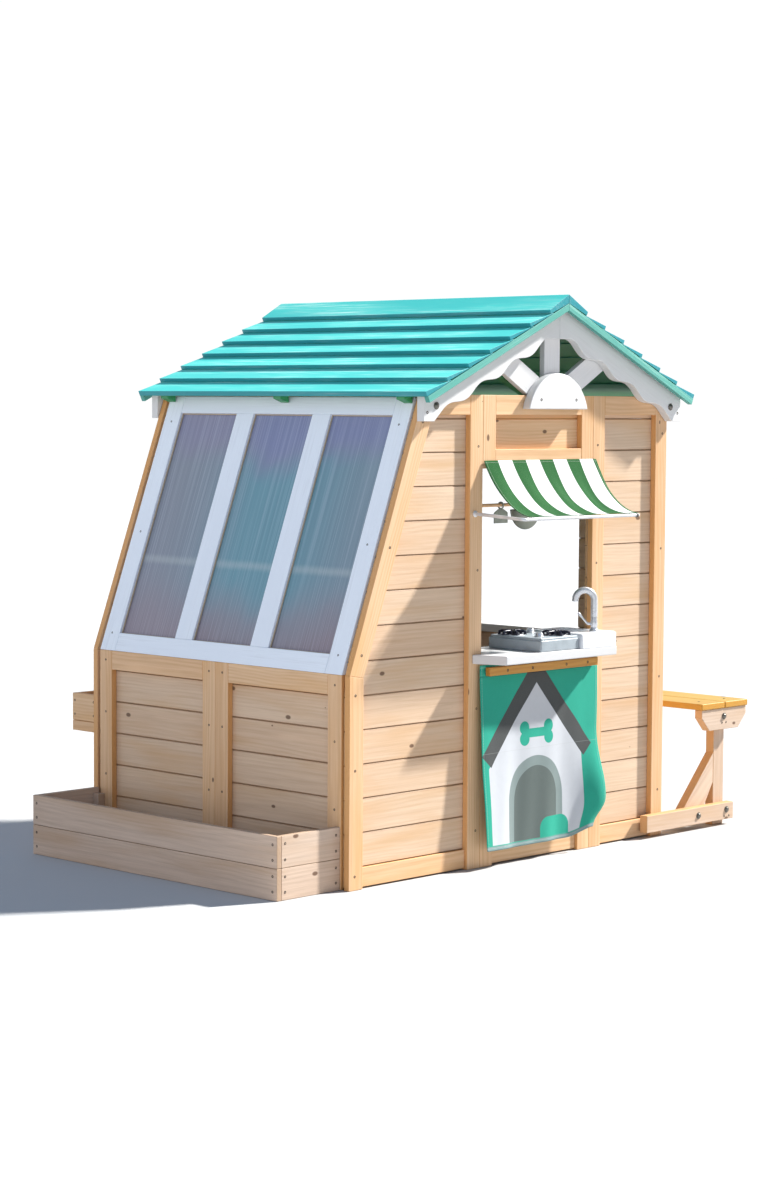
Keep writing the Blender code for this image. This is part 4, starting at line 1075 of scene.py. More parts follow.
def make_sunburst():
    """The gable's part disc, and the upright and the two leaning boards that fan out above it."""
    chord, rise, bottom = 1.38 * P, 1.10 * P, 13.91 * P
    radius = (chord**2 + rise**2) / (2 * rise)
    centre_z = bottom + rise - radius
    reach = math.acos(chord / radius)
    disc = []
    for i in range(49):
        a = reach + (math.pi - 2 * reach) * i / 48
        disc.append((RIDGE_X + radius * math.cos(a), centre_z + radius * math.sin(a)))
    timber = Timber("sunburst_half_disc", PAINT, ["sunburst_disc"])
    low, high = local_box("sunburst_disc")
    shape = prism_shape(disc, "Y", low.y, high.y)
    soften(shape, 0.0032, 4)
    timber.board(shape, X_WAY, Y_WAY)
    timber.make()
    for side in (-1, 1):
        screw((RIDGE_X + side * 0.83 * P, low.y, 14.2 * P), (0, -1, 0), 1.1)

    foot_z, half, top = WALL_H + GAP, 0.365 * P, -0.60 * P
    low, high = local_box("spoke_centre")
    limit = RIDGE_LINE + top / math.cos(PITCH)
    middle = [(RIDGE_X + half, foot_z), (RIDGE_X + half, limit - half * math.tan(PITCH)), (RIDGE_X, limit)]
    middle += [(RIDGE_X - half, limit - half * math.tan(PITCH)), (RIDGE_X - half, foot_z)]
    spokes = Timber("sunburst_spokes", PAINT, ["spoke_left", "spoke_centre", "spoke_right"])
    spokes.prism(middle, "Y", low.y, high.y, Z_WAY, 0.0016, 3)
    fan_z, slope = 14.12 * P, math.tan(math.radians(30))
    lift, near = half / math.cos(math.radians(30)), half + GAP
    for side in (-1.0, 1.0):

        def hit(offset):
            run = (limit - fan_z - offset) / (slope + math.tan(PITCH))
            return RIDGE_X + side * run, fan_z + offset + run * slope

        outline = [(RIDGE_X + side * near, foot_z), (RIDGE_X + side * near, fan_z + lift + near * slope)]
        outline += [hit(lift), hit(-lift), (RIDGE_X + side * (foot_z - fan_z + lift) / slope, foot_z)]
        spokes.prism(outline, "Y", low.y, high.y, (side * math.cos(0.52), 0, math.sin(0.52)), 0.0016, 3)
    spokes.make()


# ---------------------------------------------------------------- kitchen
def make_counter():
    low, high = local_box("kitchen_counter")
    timber = Timber("kitchen_counter_board", PAINT, ["kitchen_counter"])
    outline = [
        (5.215 * P, -GAP),
        (5.61 * P, low.y),
        (10.82 * P, low.y),
        (11.235 * P, -GAP),
        (BAY_END - GAP, -GAP),
        (BAY_END - GAP, high.y),
        (BAY_START + GAP, high.y),
        (BAY_START + GAP, -GAP),
    ]
    timber.prism(outline, "Z", low.z, high.z, X_WAY, 0.0028, 3, 0.2)
    timber.make()


def make_stove():
    low, high = local_box("stove_box")
    top = high.z - 0.008
    box = Parts("stove_body", STOVE, ["stove_box"], slot="stove_grey")
    rim = 0.006
    box.bar(low, (high.x, high.y, top - rim), 0.004, 4)
    inset = Vector((0.003, 0.003, 0.0))
    deck_low, deck_high = low + inset, high - inset
    box.bar((*deck_low.xy, top - rim - 0.002), (*deck_high.xy, top), 0.0035, 4)
    burners = ((7.75 * P, 0.62 * P), (8.62 * P, -0.42 * P))
    for x, y in burners:
        well = [(0.0, 0.0002), (0.036, 0.0002), (0.0375, 0.0014), (0.039, 0.0002), (0.0395, -0.001)]
        box.turned(well, (x, y, top), segments=40)
    box.make()
    black = Parts("stove_burners", BLACK)
    for x, y in burners:
        plate = [(0, 0.0), (0.0335, 0.0), (0.0345, 0.0012), (0.0335, 0.0026), (0.0280, 0.0032)]
        plate += [(0.0265, 0.0022), (0.0150, 0.0022), (0.0140, 0.0078), (0.0110, 0.0092), (0, 0.0094)]
        black.turned(plate, (x, y, top), segments=40)
        for i in range(6):
            a = math.pi / 3 * i
            way = Vector((math.cos(a), math.sin(a), 0))
            centre = Vector((x, y, top + 0.0098))
            arm = [centre + way * 0.010, centre + way * 0.029, centre + way * 0.0345, centre + way * 0.0355]
            arm[2].z -= 0.0016
            arm[3].z -= 0.0096
            black.tube(arm, 0.0038, 12)
    black.make()


def make_knobs():
    """A turned cap with a bar across it to grip, twice."""
    for place in ("front", "rear"):
        low, high = local_box("stove_knob_" + place)
        centre = (low + high) / 2
        body = "knob_" + place
        cap = Parts("stove_dial_" + place, SILVER, ["stove_knob_" + place], body, "silver_plastic")
        profile = [(0, 0), (0.0124, 0), (0.0125, 0.0018), (0.0112, 0.0030)]
        profile += [(0.0104, 0.0088), (0.0092, 0.0104), (0, 0.0106)]
        cap.turned(profile, (centre.x, centre.y, low.z), segments=36)
        grip = (centre.x - 0.0016, centre.y - 0.0090, low.z + 0.009)
        cap.bar(grip, (centre.x + 0.0016, centre.y + 0.0090, high.z), 0.0008, 2)
        cap.make()


def make_sink():
    """A box with a rounded basin, as one skin of rings from the foot over the brim to the basin's floor."""
    low, high = local_box("sink_box")
    basin_low = (9.35 * P, -0.30 * P)
    basin_high = (10.58 * P, 0.98 * P)
    floor_z = low.z + 0.007

    def basin_ring(inset, z, radius):
        u0, v0 = basin_low[0] + inset, basin_low[1] + inset
        return ring_of(u0, v0, basin_high[0] - inset, basin_high[1] - inset, z, radius)

    shape = bmesh.new()
    outer_low = ring_of(low.x, low.y, high.x, high.y, low.z, 0.006)
    outer_high = ring_of(low.x, low.y, high.x, high.y, high.z - 0.004, 0.006)
    brim = ring_of(low.x + 0.004, low.y + 0.004, high.x - 0.004, high.y - 0.004, high.z, 0.004)
    loops = [outer_low, outer_high, brim, basin_ring(0.0, high.z, 0.016)]
    for inset, drop in ((0.0016, 0.0004), (0.003, 0.002), (0.0036, 0.005)):
        loops.append(basin_ring(inset, high.z - drop, 0.0155))
    for inset, lift in ((0.006, 0.008), (0.009, 0.002), (0.016, 0.0)):
        loops.append(basin_ring(inset, floor_z + lift, 0.015))
    rings = [[shape.verts.new(p) for p in loop] for loop in loops]
    for a, b in zip(rings, rings[1:]):
        for i in range(len(a)):
            j = (i + 1) % len(a)
            shape.faces.new((a[i], a[j], b[j], b[i]))
    shape.faces.new(rings[0])
    shape.faces.new(rings[-1])
    bmesh.ops.recalc_face_normals(shape, faces=shape.faces)
    part = Parts("sink_body", SINK, ["sink_box"], slot="white_plastic", angle=50.0)
    part.take(shape)
    part.make()
    drain = Parts("sink_drain", SILVER)
    middle = ((basin_low[0] + basin_high[0]) / 2, (basin_low[1] + basin_high[1]) / 2, floor_z)
    profile = [(0, 0.0003), (0.008, 0.0003), (0.009, 0.0012), (0.0115, 0.0010), (0.0125, 0)]
    drain.turned(profile, middle, segments=32)
    drain.make()


def ring_of(x0, y0, x1, y1, z, radius, steps=6):
    """A rounded rectangle of points at one height."""
    points = []
    corners = ((x1, y1, 0), (x0, y1, 90), (x0, y0, 180), (x1, y0, 270))
    for x, y, start in corners:
        cx = x - radius if x == x1 else x + radius
        cy = y - radius if y == y1 else y + radius
        for i in range(steps + 1):
            a = math.radians(start + 90 * i / steps)
            points.append((cx + radius * math.cos(a), cy + radius * math.sin(a), z))
    return points


def make_tap():
    """The body, the swan-neck spout and the lever."""
    low, high = local_box("faucet_base")
    centre = (low + high) / 2
    base = Parts("tap_body", SILVER, ["faucet_base"], slot="silver_plastic")
    tall = high.z - low.z
    profile = [(0, 0), (0.0129, 0), (0.0130, 0.0022), (0.0118, 0.0042), (0.0098, 0.0062), (0.0088, 0.010)]
    profile += [(0.0086, 0.0125), (0.0095, 0.0140), (0.0095, 0.0265), (0.0088, 0.0280)]
    profile += [(0.0088, tall - 0.0020), (0.0082, tall - 0.0004), (0, tall)]
    base.turned(profile, (centre.x, centre.y, low.z), segments=40)
    base.make()
    way = Vector((math.cos(SPOUT_WAY), math.sin(SPOUT_WAY), 0.0))
    rise = Vector(Z_WAY)
    foot_point = Vector((centre.x, centre.y, high.z + GAP))
    middle = Vector((centre.x, centre.y, SPOUT_SPRING)) + way * SPOUT_BEND
    path = [foot_point, foot_point + rise * 0.0012, foot_point + rise * 0.012]
    for i in range(29):
        a = math.pi * i / 28
        path.append(middle - SPOUT_BEND * (way * math.cos(a) - rise * math.sin(a)))
    tip = path[-1]
    path += [tip - rise * 0.0020, tip - rise * 0.0036]
    pipe = SPOUT_R - 0.0004
    radii = [0.0086] + [pipe] * (len(path) - 2) + [SPOUT_R - 0.0012]
    spout = Parts("tap_spout", SILVER, ["faucet_spout"], "spout", "silver_plastic")
    spout.tube(path, radii, 24)
    nozzle = [(0, 0.0006), (0.0052, 0.0006), (0.0058, 0), (0.0070, 0), (0.0072, 0.0012), (0, 0.0014)]
    spout.turned(nozzle, path[-1] - rise * 0.0008, segments=24)
    spout.make()
    hub = Vector((centre.x, centre.y, 7.22 * P)) + way * (0.0095 + GAP)
    lever = [hub, hub + way * 0.006, hub + way * 0.009 + rise * 0.002, hub + way * 0.012 + rise * 0.005]
    lever += [hub + way * 0.022 + rise * 0.0165, hub + way * 0.029 + rise * 0.0248]
    lever += [hub + way * 0.0318 + rise * 0.0282, hub + way * 0.0335 + rise * 0.0302]
    arm = Parts("tap_lever", SILVER, ["faucet_lever"], "lever", "silver_plastic")
    arm.tube(lever, [0.0038, 0.0038, 0.0034, 0.0030, 0.0028, 0.0036, 0.0038, 0.0024], 16)
    arm.make()


def make_utensils():
    low, high = local_box("utensil_rail")
    y, z = (low.y + high.y) / 2, (low.z + high.z) / 2
    rail = Timber("utensil_dowel", CEDAR, ["utensil_rail"])
    rail.board(tube_shape([(low.x, y, z), (high.x, y, z)], 0.0045, 16), X_WAY, Y_WAY)
    rail.make()
    ring_r, wire = 0.0085, 0.0022
    centre_z = z - (ring_r - wire - 0.0045) + 0.0004
    for name, body in (("spatula", "turner"), ("ladle", "ladle")):
        low, high = local_box(name)
        x = (low.x + high.x) / 2
        part = Parts(name + "_tool", UTENSIL, [name], body, "utensil_grey")
        ring = []
        for i in range(28):
            a = 2 * math.pi * i / 28
            ring.append((x, y + ring_r * math.cos(a), centre_z + ring_r * math.sin(a)))
        part.tube(ring, wire, 10, True)
        top = centre_z - ring_r
        if name == "spatula":
            add_turner(part, x, y, top, low.z, (high.x - low.x) / 2)
        else:
            add_ladle(part, x, y, top, low.z, (high.x - low.x) / 2)
        part.make()


def add_turner(part, x, y, top, low, half):
    """A broad blade with sloping shoulders, stiffened by a rib down its middle."""
    outline = [(x - half, low), (x + half, low), (x + half, top - 0.011), (x + half - 0.004, top - 0.0075)]
    outline += [(x + 0.007, top + 0.0005), (x - 0.007, top + 0.0005)]
    outline += [(x - half + 0.004, top - 0.0075), (x - half, top - 0.011)]
    part.prism(outline, "Y", y - 0.0017, y + 0.0017, 0.0012, 3, 0.9)
    part.prism(rectangle(x - 0.0045, low + 0.006, x + 0.0045, top), "Y", y - 0.0024, y + 0.0024, 0.001, 3)


def add_ladle(part, x, y, top, low, radius):
    """A round-bottomed cup with a rolled rim, carried by a bar across it."""
    rim = 10.83 * P
    depth, wall, steps = rim - low, 0.0024, 14
    outer, inner = [], []
    for i in range(steps + 1):
        a = math.pi / 2 * i / steps
        outer.append(((radius - 0.0006) * math.sin(a), depth * (1 - math.cos(a))))
        inner.append(((radius - 0.0006 - wall) * math.sin(a), wall + (depth - wall) * (1 - math.cos(a))))
    lip = [(radius, depth - 0.0022), (radius, depth - 0.0008), (radius - wall / 2, depth)]
    part.turned(outer[:-1] + lip + inner[:-1][::-1], (x, y, low), segments=48)
    reach = radius - wall
    part.bar((x - reach, y - 0.004, rim - 0.0042), (x + reach, y + 0.004, rim - 0.0012), 0.001, 2)
    part.bar((x - 0.004, y - 0.002, rim - 0.003), (x + 0.004, y + 0.002, top + 0.001), 0.0008, 2)


# ---------------------------------------------------------------- cloth
def cloth_object(name, columns, rows, place, width, length, offset=0.0):
    """A sheet as a grid of points: place(across, down) gives each, and its flat pattern is kept on it."""
    mesh = bpy.data.meshes.new(name)
    points, flat, faces = [], [], []
    for j in range(rows + 1):
        for i in range(columns + 1):
            points.append(tuple(place(i / columns, j / rows) + HOUSE))
            flat.append((width * i / columns, offset + length * j / rows, 0.0))
    for j in range(rows):
        for i in range(columns):
            a = j * (columns + 1) + i
            faces.append((a, a + 1, a + columns + 2, a + columns + 1))
    mesh.from_pydata(points, [], faces)
    store(mesh, "cloth", "FLOAT_VECTOR", "POINT", flat)
    mesh.shade_smooth()
    return linked(name, mesh)


def drape(obj, pinned, frames, stiffness=8.0, bending=0.4, gravity=1.0, damping=4.0, mass=0.15):
    """Lets the cloth settle under its own weight, held at the pinned points, and keeps the result."""
    group = obj.vertex_groups.new(name="held")
    for index, weight in pinned.items():
        group.add([index], weight, "REPLACE")
    cloth = obj.modifiers.new("Cloth", "CLOTH")
    cloth.settings.vertex_group_mass = "held"
    cloth.settings.quality = 8
    cloth.settings.mass = mass
    for field in ("tension_stiffness", "compression_stiffness", "shear_stiffness"):
        setattr(cloth.settings, field, stiffness)
    cloth.settings.bending_stiffness = bending
    cloth.settings.tension_damping = damping
    cloth.settings.air_damping = damping
    cloth.settings.effector_weights.gravity = gravity
    cloth.point_cache.frame_start = 1
    cloth.point_cache.frame_end = frames
    scene = bpy.context.scene
    for i in range(1, frames + 1):
        scene.frame_set(i)
    graph = bpy.context.evaluated_depsgraph_get()
    settled = bpy.data.meshes.new_from_object(obj.evaluated_get(graph))
    obj.modifiers.remove(cloth)
    obj.vertex_groups.clear()
    obj.data = settled
    scene.frame_set(1)


def finish_cloth(obj, material, thickness, replaces, body="house"):
    obj.data.materials.clear()
    obj.data.materials.append(material)
    obj.data.shade_smooth()
    smooth = obj.modifiers.new("Smooth", "SUBSURF")
    smooth.levels = 1
    smooth.render_levels = 1
    solid = obj.modifiers.new("Thickness", "SOLIDIFY")
    solid.thickness = thickness
    solid.offset = 0.0
    settle(obj, body, replaces)


def stripes(s, u, v):
    """Green and white stripes, the green ones a little wider toward the front, and a green front hem."""
    pitch, edge = 1.28 * P, 0.0045
    part = s.math("FRACT", s.math("DIVIDE", u, pitch))
    beyond = s.sub(part, s.between(v, 0.2 * P, 2.6 * P, 0.49, 0.58))
    white = s.mul(s.between(beyond, -edge, edge), s.between(part, 1 - 2 * edge, 1.0, 1.0, 0.0))
    white = s.mul(white, s.between(v, 2.775 * P, 2.785 * P, 1.0, 0.0))
    return s.mix(white, (0.0085, 0.088, 0.018), (0.66, 0.68, 0.68))


def make_awning():
    """A bent bar, and the striped cloth stretched from the header to it."""
    low, high = local_box("awning_fabric")
    bar_low, _ = local_box("awning_frame")
    radius = 0.0045
    left, right, rear = bar_low.x + radius, 10.74 * P, 11.10 * P
    out, bar_z, rear_z = bar_low.y + radius, 10.66 * P, 10.77 * P
    bar = Parts("awning_bar", BAR, ["awning_frame"], slot="awning_bar")
    rod = [(left, -GAP, rear_z), (left, out, bar_z), (right, out, bar_z), (rear, -0.0012, rear_z)]
    bar.tube(rounded(rod, 0.012, 8), 0.0044, 16)
    collar = [(0, 0), (0.0085, 0), (0.0085, 0.0022), (0.006, 0.0034), (0.0045, 0.0034)]
    for x in (left, rear):
        bar.turned(collar, (x, -GAP, rear_z), (0, -1, 0))
    bar.make()
    caps = Parts("awning_bar_caps", END_CAP)
    ring = [(0.0046, -0.003), (0.0062, -0.003), (0.0062, 0.003), (0.0046, 0.003), (0.0046, -0.003)]
    caps.turned(ring, (right - 0.013, out, bar_z), X_WAY, 20)
    caps.make()

    width, length = high.x - low.x, 2.86 * P
    start = Vector((-0.0032, 12.36 * P))
    end = Vector((out, bar_z + 0.0062))
    pull = Vector((-0.55 * P, 10.98 * P))
    columns, rows = 56, 34
    curve = even_curve([(1 - t) ** 2 * start + 2 * t * (1 - t) * pull + t * t * end for t in spans(60)], rows)

    def place(a, b):
        y, z = curve[round(b * rows)]
        ripple = 0.0055 * math.sin(math.pi * b) * math.sin(a * math.pi * 2 * 4.25 + 2.2 * b)
        ripple += 0.0025 * math.sin(math.pi * b) ** 2 * math.sin(a * 31.0 - 4.0 * b)
        taper = 0.012 * a * ease(b, 0.2, 1.0)
        waist = 0.006 * math.sin(math.pi * b) ** 2 * (0.5 - a)
        return Vector((low.x + width * a + waist - taper, y, z + ripple))

    sheet = cloth_object("awning_cloth", columns, rows, place, width, length)
    pinned = {i: 1.0 for i in range(columns + 1)}
    pinned.update({rows * (columns + 1) + i: 1.0 for i in range(columns + 1)})
    drape(sheet, pinned, 26)
    material = cloth_material("awning_cloth", stripes, width, length)
    finish_cloth(sheet, material, 0.0010, ["awning_fabric"])
    for x in (5.81, 8.35, 10.81):
        spot = (min(x * P, high.x - 0.012), -0.0046, 12.25 * P)
        BOLTS.turned(TACK, spot, (0, -1, 0), 20)


def spans(count):
    return [i / count for i in range(count + 1)]


def even_curve(points, count):
    """The same line with evenly spaced points."""
    lengths = [0.0]
    for a, b in zip(points, points[1:]):
        lengths.append(lengths[-1] + (b - a).length)
    found = []
    for i in range(count + 1):
        want = lengths[-1] * i / count
        k = max(j for j in range(len(points) - 1) if lengths[j] <= want + 1e-12)
        t = (want - lengths[k]) / max(lengths[k + 1] - lengths[k], 1e-12)
        found.append(points[k].lerp(points[k + 1], min(t, 1.0)))
    return found


def kennel_print(s, u, v):
    """A plain kennel: dark roof, pale walls, an arched door, a bone over it and a bowl beside it."""
    soft = 0.0006
    teal, dark, pale = (0.024, 0.335, 0.24), (0.070, 0.075, 0.076), (0.51, 0.53, 0.57)
    x = s.sub(u, 2.61 * P)
    ax = s.math("ABSOLUTE", x)

    def inside(distance):
        return s.between(distance, -soft, soft, 1.0, 0.0)

    def circle(cx, cy, r):
        dx, dy = s.sub(x, cx * P), s.sub(v, cy * P)
        return s.sub(s.math("SQRT", s.add(s.mul(dx, dx), s.mul(dy, dy))), r * P)

    def box(cx, cy, half_x, half_y):
        dx = s.sub(s.math("ABSOLUTE", s.sub(x, cx * P)), half_x * P)
        dy = s.sub(s.math("ABSOLUTE", s.sub(v, cy * P)), half_y * P)
        return s.most(dx, dy)

    slope, ground = s.mul(ax, 1.115), 5.54
    drop = s.sub(v, slope)
    reach = s.add(ax, s.mul(v, 1.115))
    roof = s.most(s.sub(-0.12 * P, drop), s.sub(drop, 0.69 * P), s.sub(reach, 5.72 * P))
    walls = s.most(s.sub(0.60 * P, drop), box(-0.10, 3.0, 2.22, 9.0), s.sub(v, ground * P))
    arch = s.most(s.least(circle(-0.05, 4.28, 1.33), box(-0.05, 5.0, 1.33, 0.72)), s.sub(v, ground * P))
    door = s.most(s.least(circle(-0.05, 4.28, 1.02), box(-0.05, 5.0, 1.02, 0.72)), s.sub(v, ground * P))
    bone = box(0.0, 2.24, 0.5, 0.14)
    for cx in (-0.55, 0.55):
        for cy in (2.07, 2.41):
            bone = s.least(bone, circle(cx, cy, 0.21))
    dx = s.most(s.sub(s.math("ABSOLUTE", s.sub(x, 0.84 * P)), 0.34 * P), 0.0)
    dy = s.most(s.sub(s.math("ABSOLUTE", s.sub(v, ground * P)), 0.26 * P), 0.0)
    bowl = s.sub(s.math("SQRT", s.add(s.mul(dx, dx), s.mul(dy, dy))), 0.36 * P)
    bowl = s.most(bowl, s.sub(v, ground * P))
    color = s.mix(inside(walls), teal, pale)
    color = s.mix(inside(roof), color, dark)
    color = s.mix(inside(arch), color, (0.20, 0.25, 0.25))
    color = s.mix(inside(door), color, (0.105, 0.13, 0.125))
    color = s.mix(inside(bone), color, teal)
    color = s.mix(inside(bowl), color, teal)
    seam = s.between(s.math("ABSOLUTE", s.sub(v, 2.71 * P)), 0.0004, 0.0012, 1.0, 0.0)
    strip = s.between(v, (ground + 0.02) * P, (ground + 0.03) * P)
    color = s.mix(strip, color, (0.20, 0.29, 0.29))
    return s.mix(s.mul(seam, 0.25), color, (0.36, 0.37, 0.37))


def bulge(a, b):
    """How far the curtain stands out from where it hangs: 0 to 1 across and down."""
    left = 0.022 * (1 - ease(a, 0.0, 0.45)) * b**1.5
    right = 0.036 * ease(a, 0.74, 1.0) * ease(b, 0.35, 0.80) * (1 - 0.55 * ease(b, 0.80, 1.0))
    folds = 0.0035 * math.sin(2 * math.pi * (2.3 * a + 0.1)) * b
    folds += 0.0018 * math.sin(2 * math.pi * (5.2 * a + 0.35 * b)) * b
    crease = 0.0015 * math.sin(2 * math.pi * (1.5 * b + a)) * math.sin(math.pi * b)
    return 0.006 * b + left + right + folds + crease


def ease(value, low, high):
    t = min(max((value - low) / (high - low), 0.0), 1.0)
    return t * t * (3 - 2 * t)


def make_curtain():
    """The printed curtain: a strip held behind the batten, and the sheet that hangs from it."""
    low, high = local_box("curtain")
    width = high.x - low.x
    strip_top = 6.20 * P
    strip = strip_top - high.z
    length = strip + high.z - low.z
    columns, rows = 84, 72
    depth = (low.y + high.y) / 2
    material = cloth_material("curtain_cloth", kennel_print, width, length)

    def hanging(a, b):
        corner = ease(a, 0.72, 1.0) * ease(b, 0.80, 1.0)
        out = bulge(a, b)
        x = low.x + width * a - 0.012 * ease(a, 0.8, 1.0) * b - 0.026 * corner
        z = high.z - b * (high.z - low.z) + 0.3 * out * out / 0.05 + 0.020 * corner
        return Vector((x, depth - out, z))

    sheet = cloth_object("curtain_cloth", columns, rows, hanging, width, high.z - low.z, strip)
    finish_cloth(sheet, material, 0.0009, ["curtain"], "curtain_flap")

    def pinned(a, b):
        return Vector((low.x + width * a, depth, strip_top - b * strip))

    top = cloth_object("curtain_top_strip", columns, 6, pinned, width, strip)
    finish_cloth(top, material, 0.0009, ())
    low, high = one_board("curtain_batten_board", AMBER, "curtain_batten", X_WAY, Y_WAY, 0.0022)
    for x in (6.46, 7.62, 9.22, 10.25):
        screw((x * P, low.y, (low.z + high.z) / 2), (0, -1, 0), 1.1)


# ---------------------------------------------------------------- bench, planters, door
def make_bench():
    for place in ("inner", "outer"):
        node = "seat_board_" + place
        one_board("seat_plank_" + place, SEAT, node, Y_WAY, Z_WAY, 0.003, "seat_wood")
    for place, out in (("front", -1), ("rear", 1)):
        low, high = local_box("bench_bracket_" + place)
        face = low.y if out < 0 else high.y
        x0, x1, top = low.x, high.x, high.z
        bottom, corner_z, chamfer = low.z, 3.70 * P, 0.42 * P
        outline = [(x0, top), (x0, corner_z), (x0 + chamfer, bottom)]
        outline += [(x1 - chamfer, bottom), (x1, corner_z), (x1, top)]
        bracket = Timber("bench_bracket_board_" + place, BENCH, ["bench_bracket_" + place])
        bracket.prism(outline, "Y", low.y, high.y, X_WAY, BENCH_EDGE, 3)
        bracket.make()
        bolt((17.48 * P, face, 3.69 * P), (0, out, 0))
        for x in (17.38, 17.60):
            screw((x * P, face, 3.48 * P), (0, out, 0), 0.9)
        low, high = local_box("bench_leg_" + place)
        leg = Timber("bench_leg_boards_" + place, BENCH, ["bench_leg_" + place])
        x = 17.62 * P
        leg.bar((x - STILE / 2, low.y, 0.0), (x + STILE / 2, high.y, high.z), Z_WAY, Y_WAY, BENCH_EDGE, 3)
        x -= STILE / 2 + GAP
        brace = [(x, 2.45 * P), (x, 1.45 * P)]
        brace += [(16.55 * P, 0.20 * P), (15.38 * P, 0.20 * P), (15.62 * P, 0.58 * P)]
        leg.prism(brace, "Y", low.y, high.y, (0.75, 0, 0.66), BENCH_EDGE, 3)
        leg.make()
        name = "bench_rail_board_" + place
        one_board(name, BENCH, "bench_rail_" + place, X_WAY, Y_WAY, BENCH_EDGE)
        for x, z in ((16.16, 0.47), (17.70, 0.52)):
            bolt((x * P, face, z * P), (0, out, 0))
        for x in (17.58, 17.84):
            screw((x * P, face, 0.30 * P), (0, out, 0), 0.9)
    low, high = local_box("seat_board_inner")
    for x in (16.8, 18.2):
        for y in (0.02, DEPTH - 0.02):
            screw((x * P, y, high.z), Z_WAY, 1.1)


def split_boards(timber, low, high, seam, along, normal):
    """Two boards, one above the other."""
    timber.bar(low, (high[0], high[1], seam - 0.0004), along, normal, BOX_EDGE, 3)
    timber.bar((low[0], low[1], seam + 0.0004), high, along, normal, BOX_EDGE, 3)


def make_planters():
    low, high = local_box("planter_long_side")
    seam = (low.z + high.z) / 2
    long_side = Timber("planter_long_boards", PLANTER, ["planter_long_side"])
    split_boards(long_side, low, high, seam, Y_WAY, X_WAY)
    long_side.make()
    outer = low.x
    for place, out in (("front", -1), ("rear", 1)):
        low, high = local_box("planter_end_" + place)
        end = Timber("planter_end_boards_" + place, PLANTER, ["planter_end_" + place])
        split_boards(end, low, high, seam, X_WAY, Y_WAY)
        end.make()
        face = low.y if out < 0 else high.y
        for x in (low.x + 0.012, high.x - 0.014):
            for z in (0.02, 0.058, 0.10, 0.14):
                screw((x, face, z), (0, out, 0), 1.0)
    for y in (0.40 * P + 0.012, 11.32 * P - 0.012):
        for z in (0.022, 0.060, 0.100, 0.138):
            screw((outer, y, z), (-1, 0, 0), 1.0)
    cleats = Timber("planter_cleats", PLANTER)
    inner = outer + 0.0158
    for y0 in (0.36 * P + 0.0158, 11.36 * P - 0.0158 - 0.022):
        for x0 in (inner, -0.0225):
            cleats.bar((x0, y0, 0.0), (x0 + 0.022, y0 + 0.022, 0.145), Z_WAY, X_WAY, 0.0012, 2)
    cleats.make()


def make_flower_box():
    low, high = local_box("flower_box")
    thick = 0.0152
    seam = low.z + 0.028
    box = Timber("flower_box_boards", CEDAR, ["flower_box"])
    left, right = low.x + thick + GAP, high.x - thick - GAP
    for y0, y1 in ((low.y, low.y + thick), (high.y - thick, high.y)):
        box.bar((left, y0, low.z + thick), (right, y1, high.z), X_WAY, Y_WAY, BOX_EDGE, 3)
    for x0, x1 in ((low.x, low.x + thick), (high.x - thick, high.x)):
        box.bar((x0, low.y, seam + 0.0004), (x1, high.y, high.z), Y_WAY, X_WAY, BOX_EDGE, 3)
        box.bar((x0, low.y, low.z), (x1, high.y, seam - 0.0004), Y_WAY, X_WAY, BOX_EDGE, 3)
    floor_top = low.z + thick - GAP
    box.bar((left, low.y, low.z), (right, high.y, floor_top), X_WAY, Z_WAY, BOX_EDGE, 3)
    box.make()
    for x, out in ((low.x, -1), (high.x, 1)):
        for y in (low.y + 0.01, high.y - 0.01):
            for z in (low.z + 0.045, high.z - 0.02):
                screw((x, y, z), (out, 0, 0), 0.9)


def make_door():
    low, high = local_box("door_leaf")
    leaf = Timber("door_boards", CEDAR, ["door_leaf"], "door")
    thick = 0.011
    y0, y1 = high.y - thick, high.y
    normal, up, along = Y_WAY, Z_WAY, X_WAY
    leaf.bar((low.x, y0, low.z), (low.x + STILE - 0.0002, y1, high.z), up, normal, DOOR_EDGE, 3)
    leaf.bar((high.x - STILE + 0.0002, y0, low.z), (high.x, y1, high.z), up, normal, DOOR_EDGE, 3)
    for z0, z1 in ((low.z, low.z + STILE), (high.z - STILE, high.z)):
        leaf.bar((low.x + STILE, y0, z0), (high.x - STILE, y1 - GAP, z1), along, normal, DOOR_EDGE, 3)
    count = 5
    step = (high.x - low.x) / count
    for i in range(count):
        x0 = low.x + i * step + GAP
        leaf.bar((x0, low.y, low.z), (x0 + step - 0.0006, y0 - GAP, high.z), up, normal, DOOR_EDGE, 1)
    leaf.make()


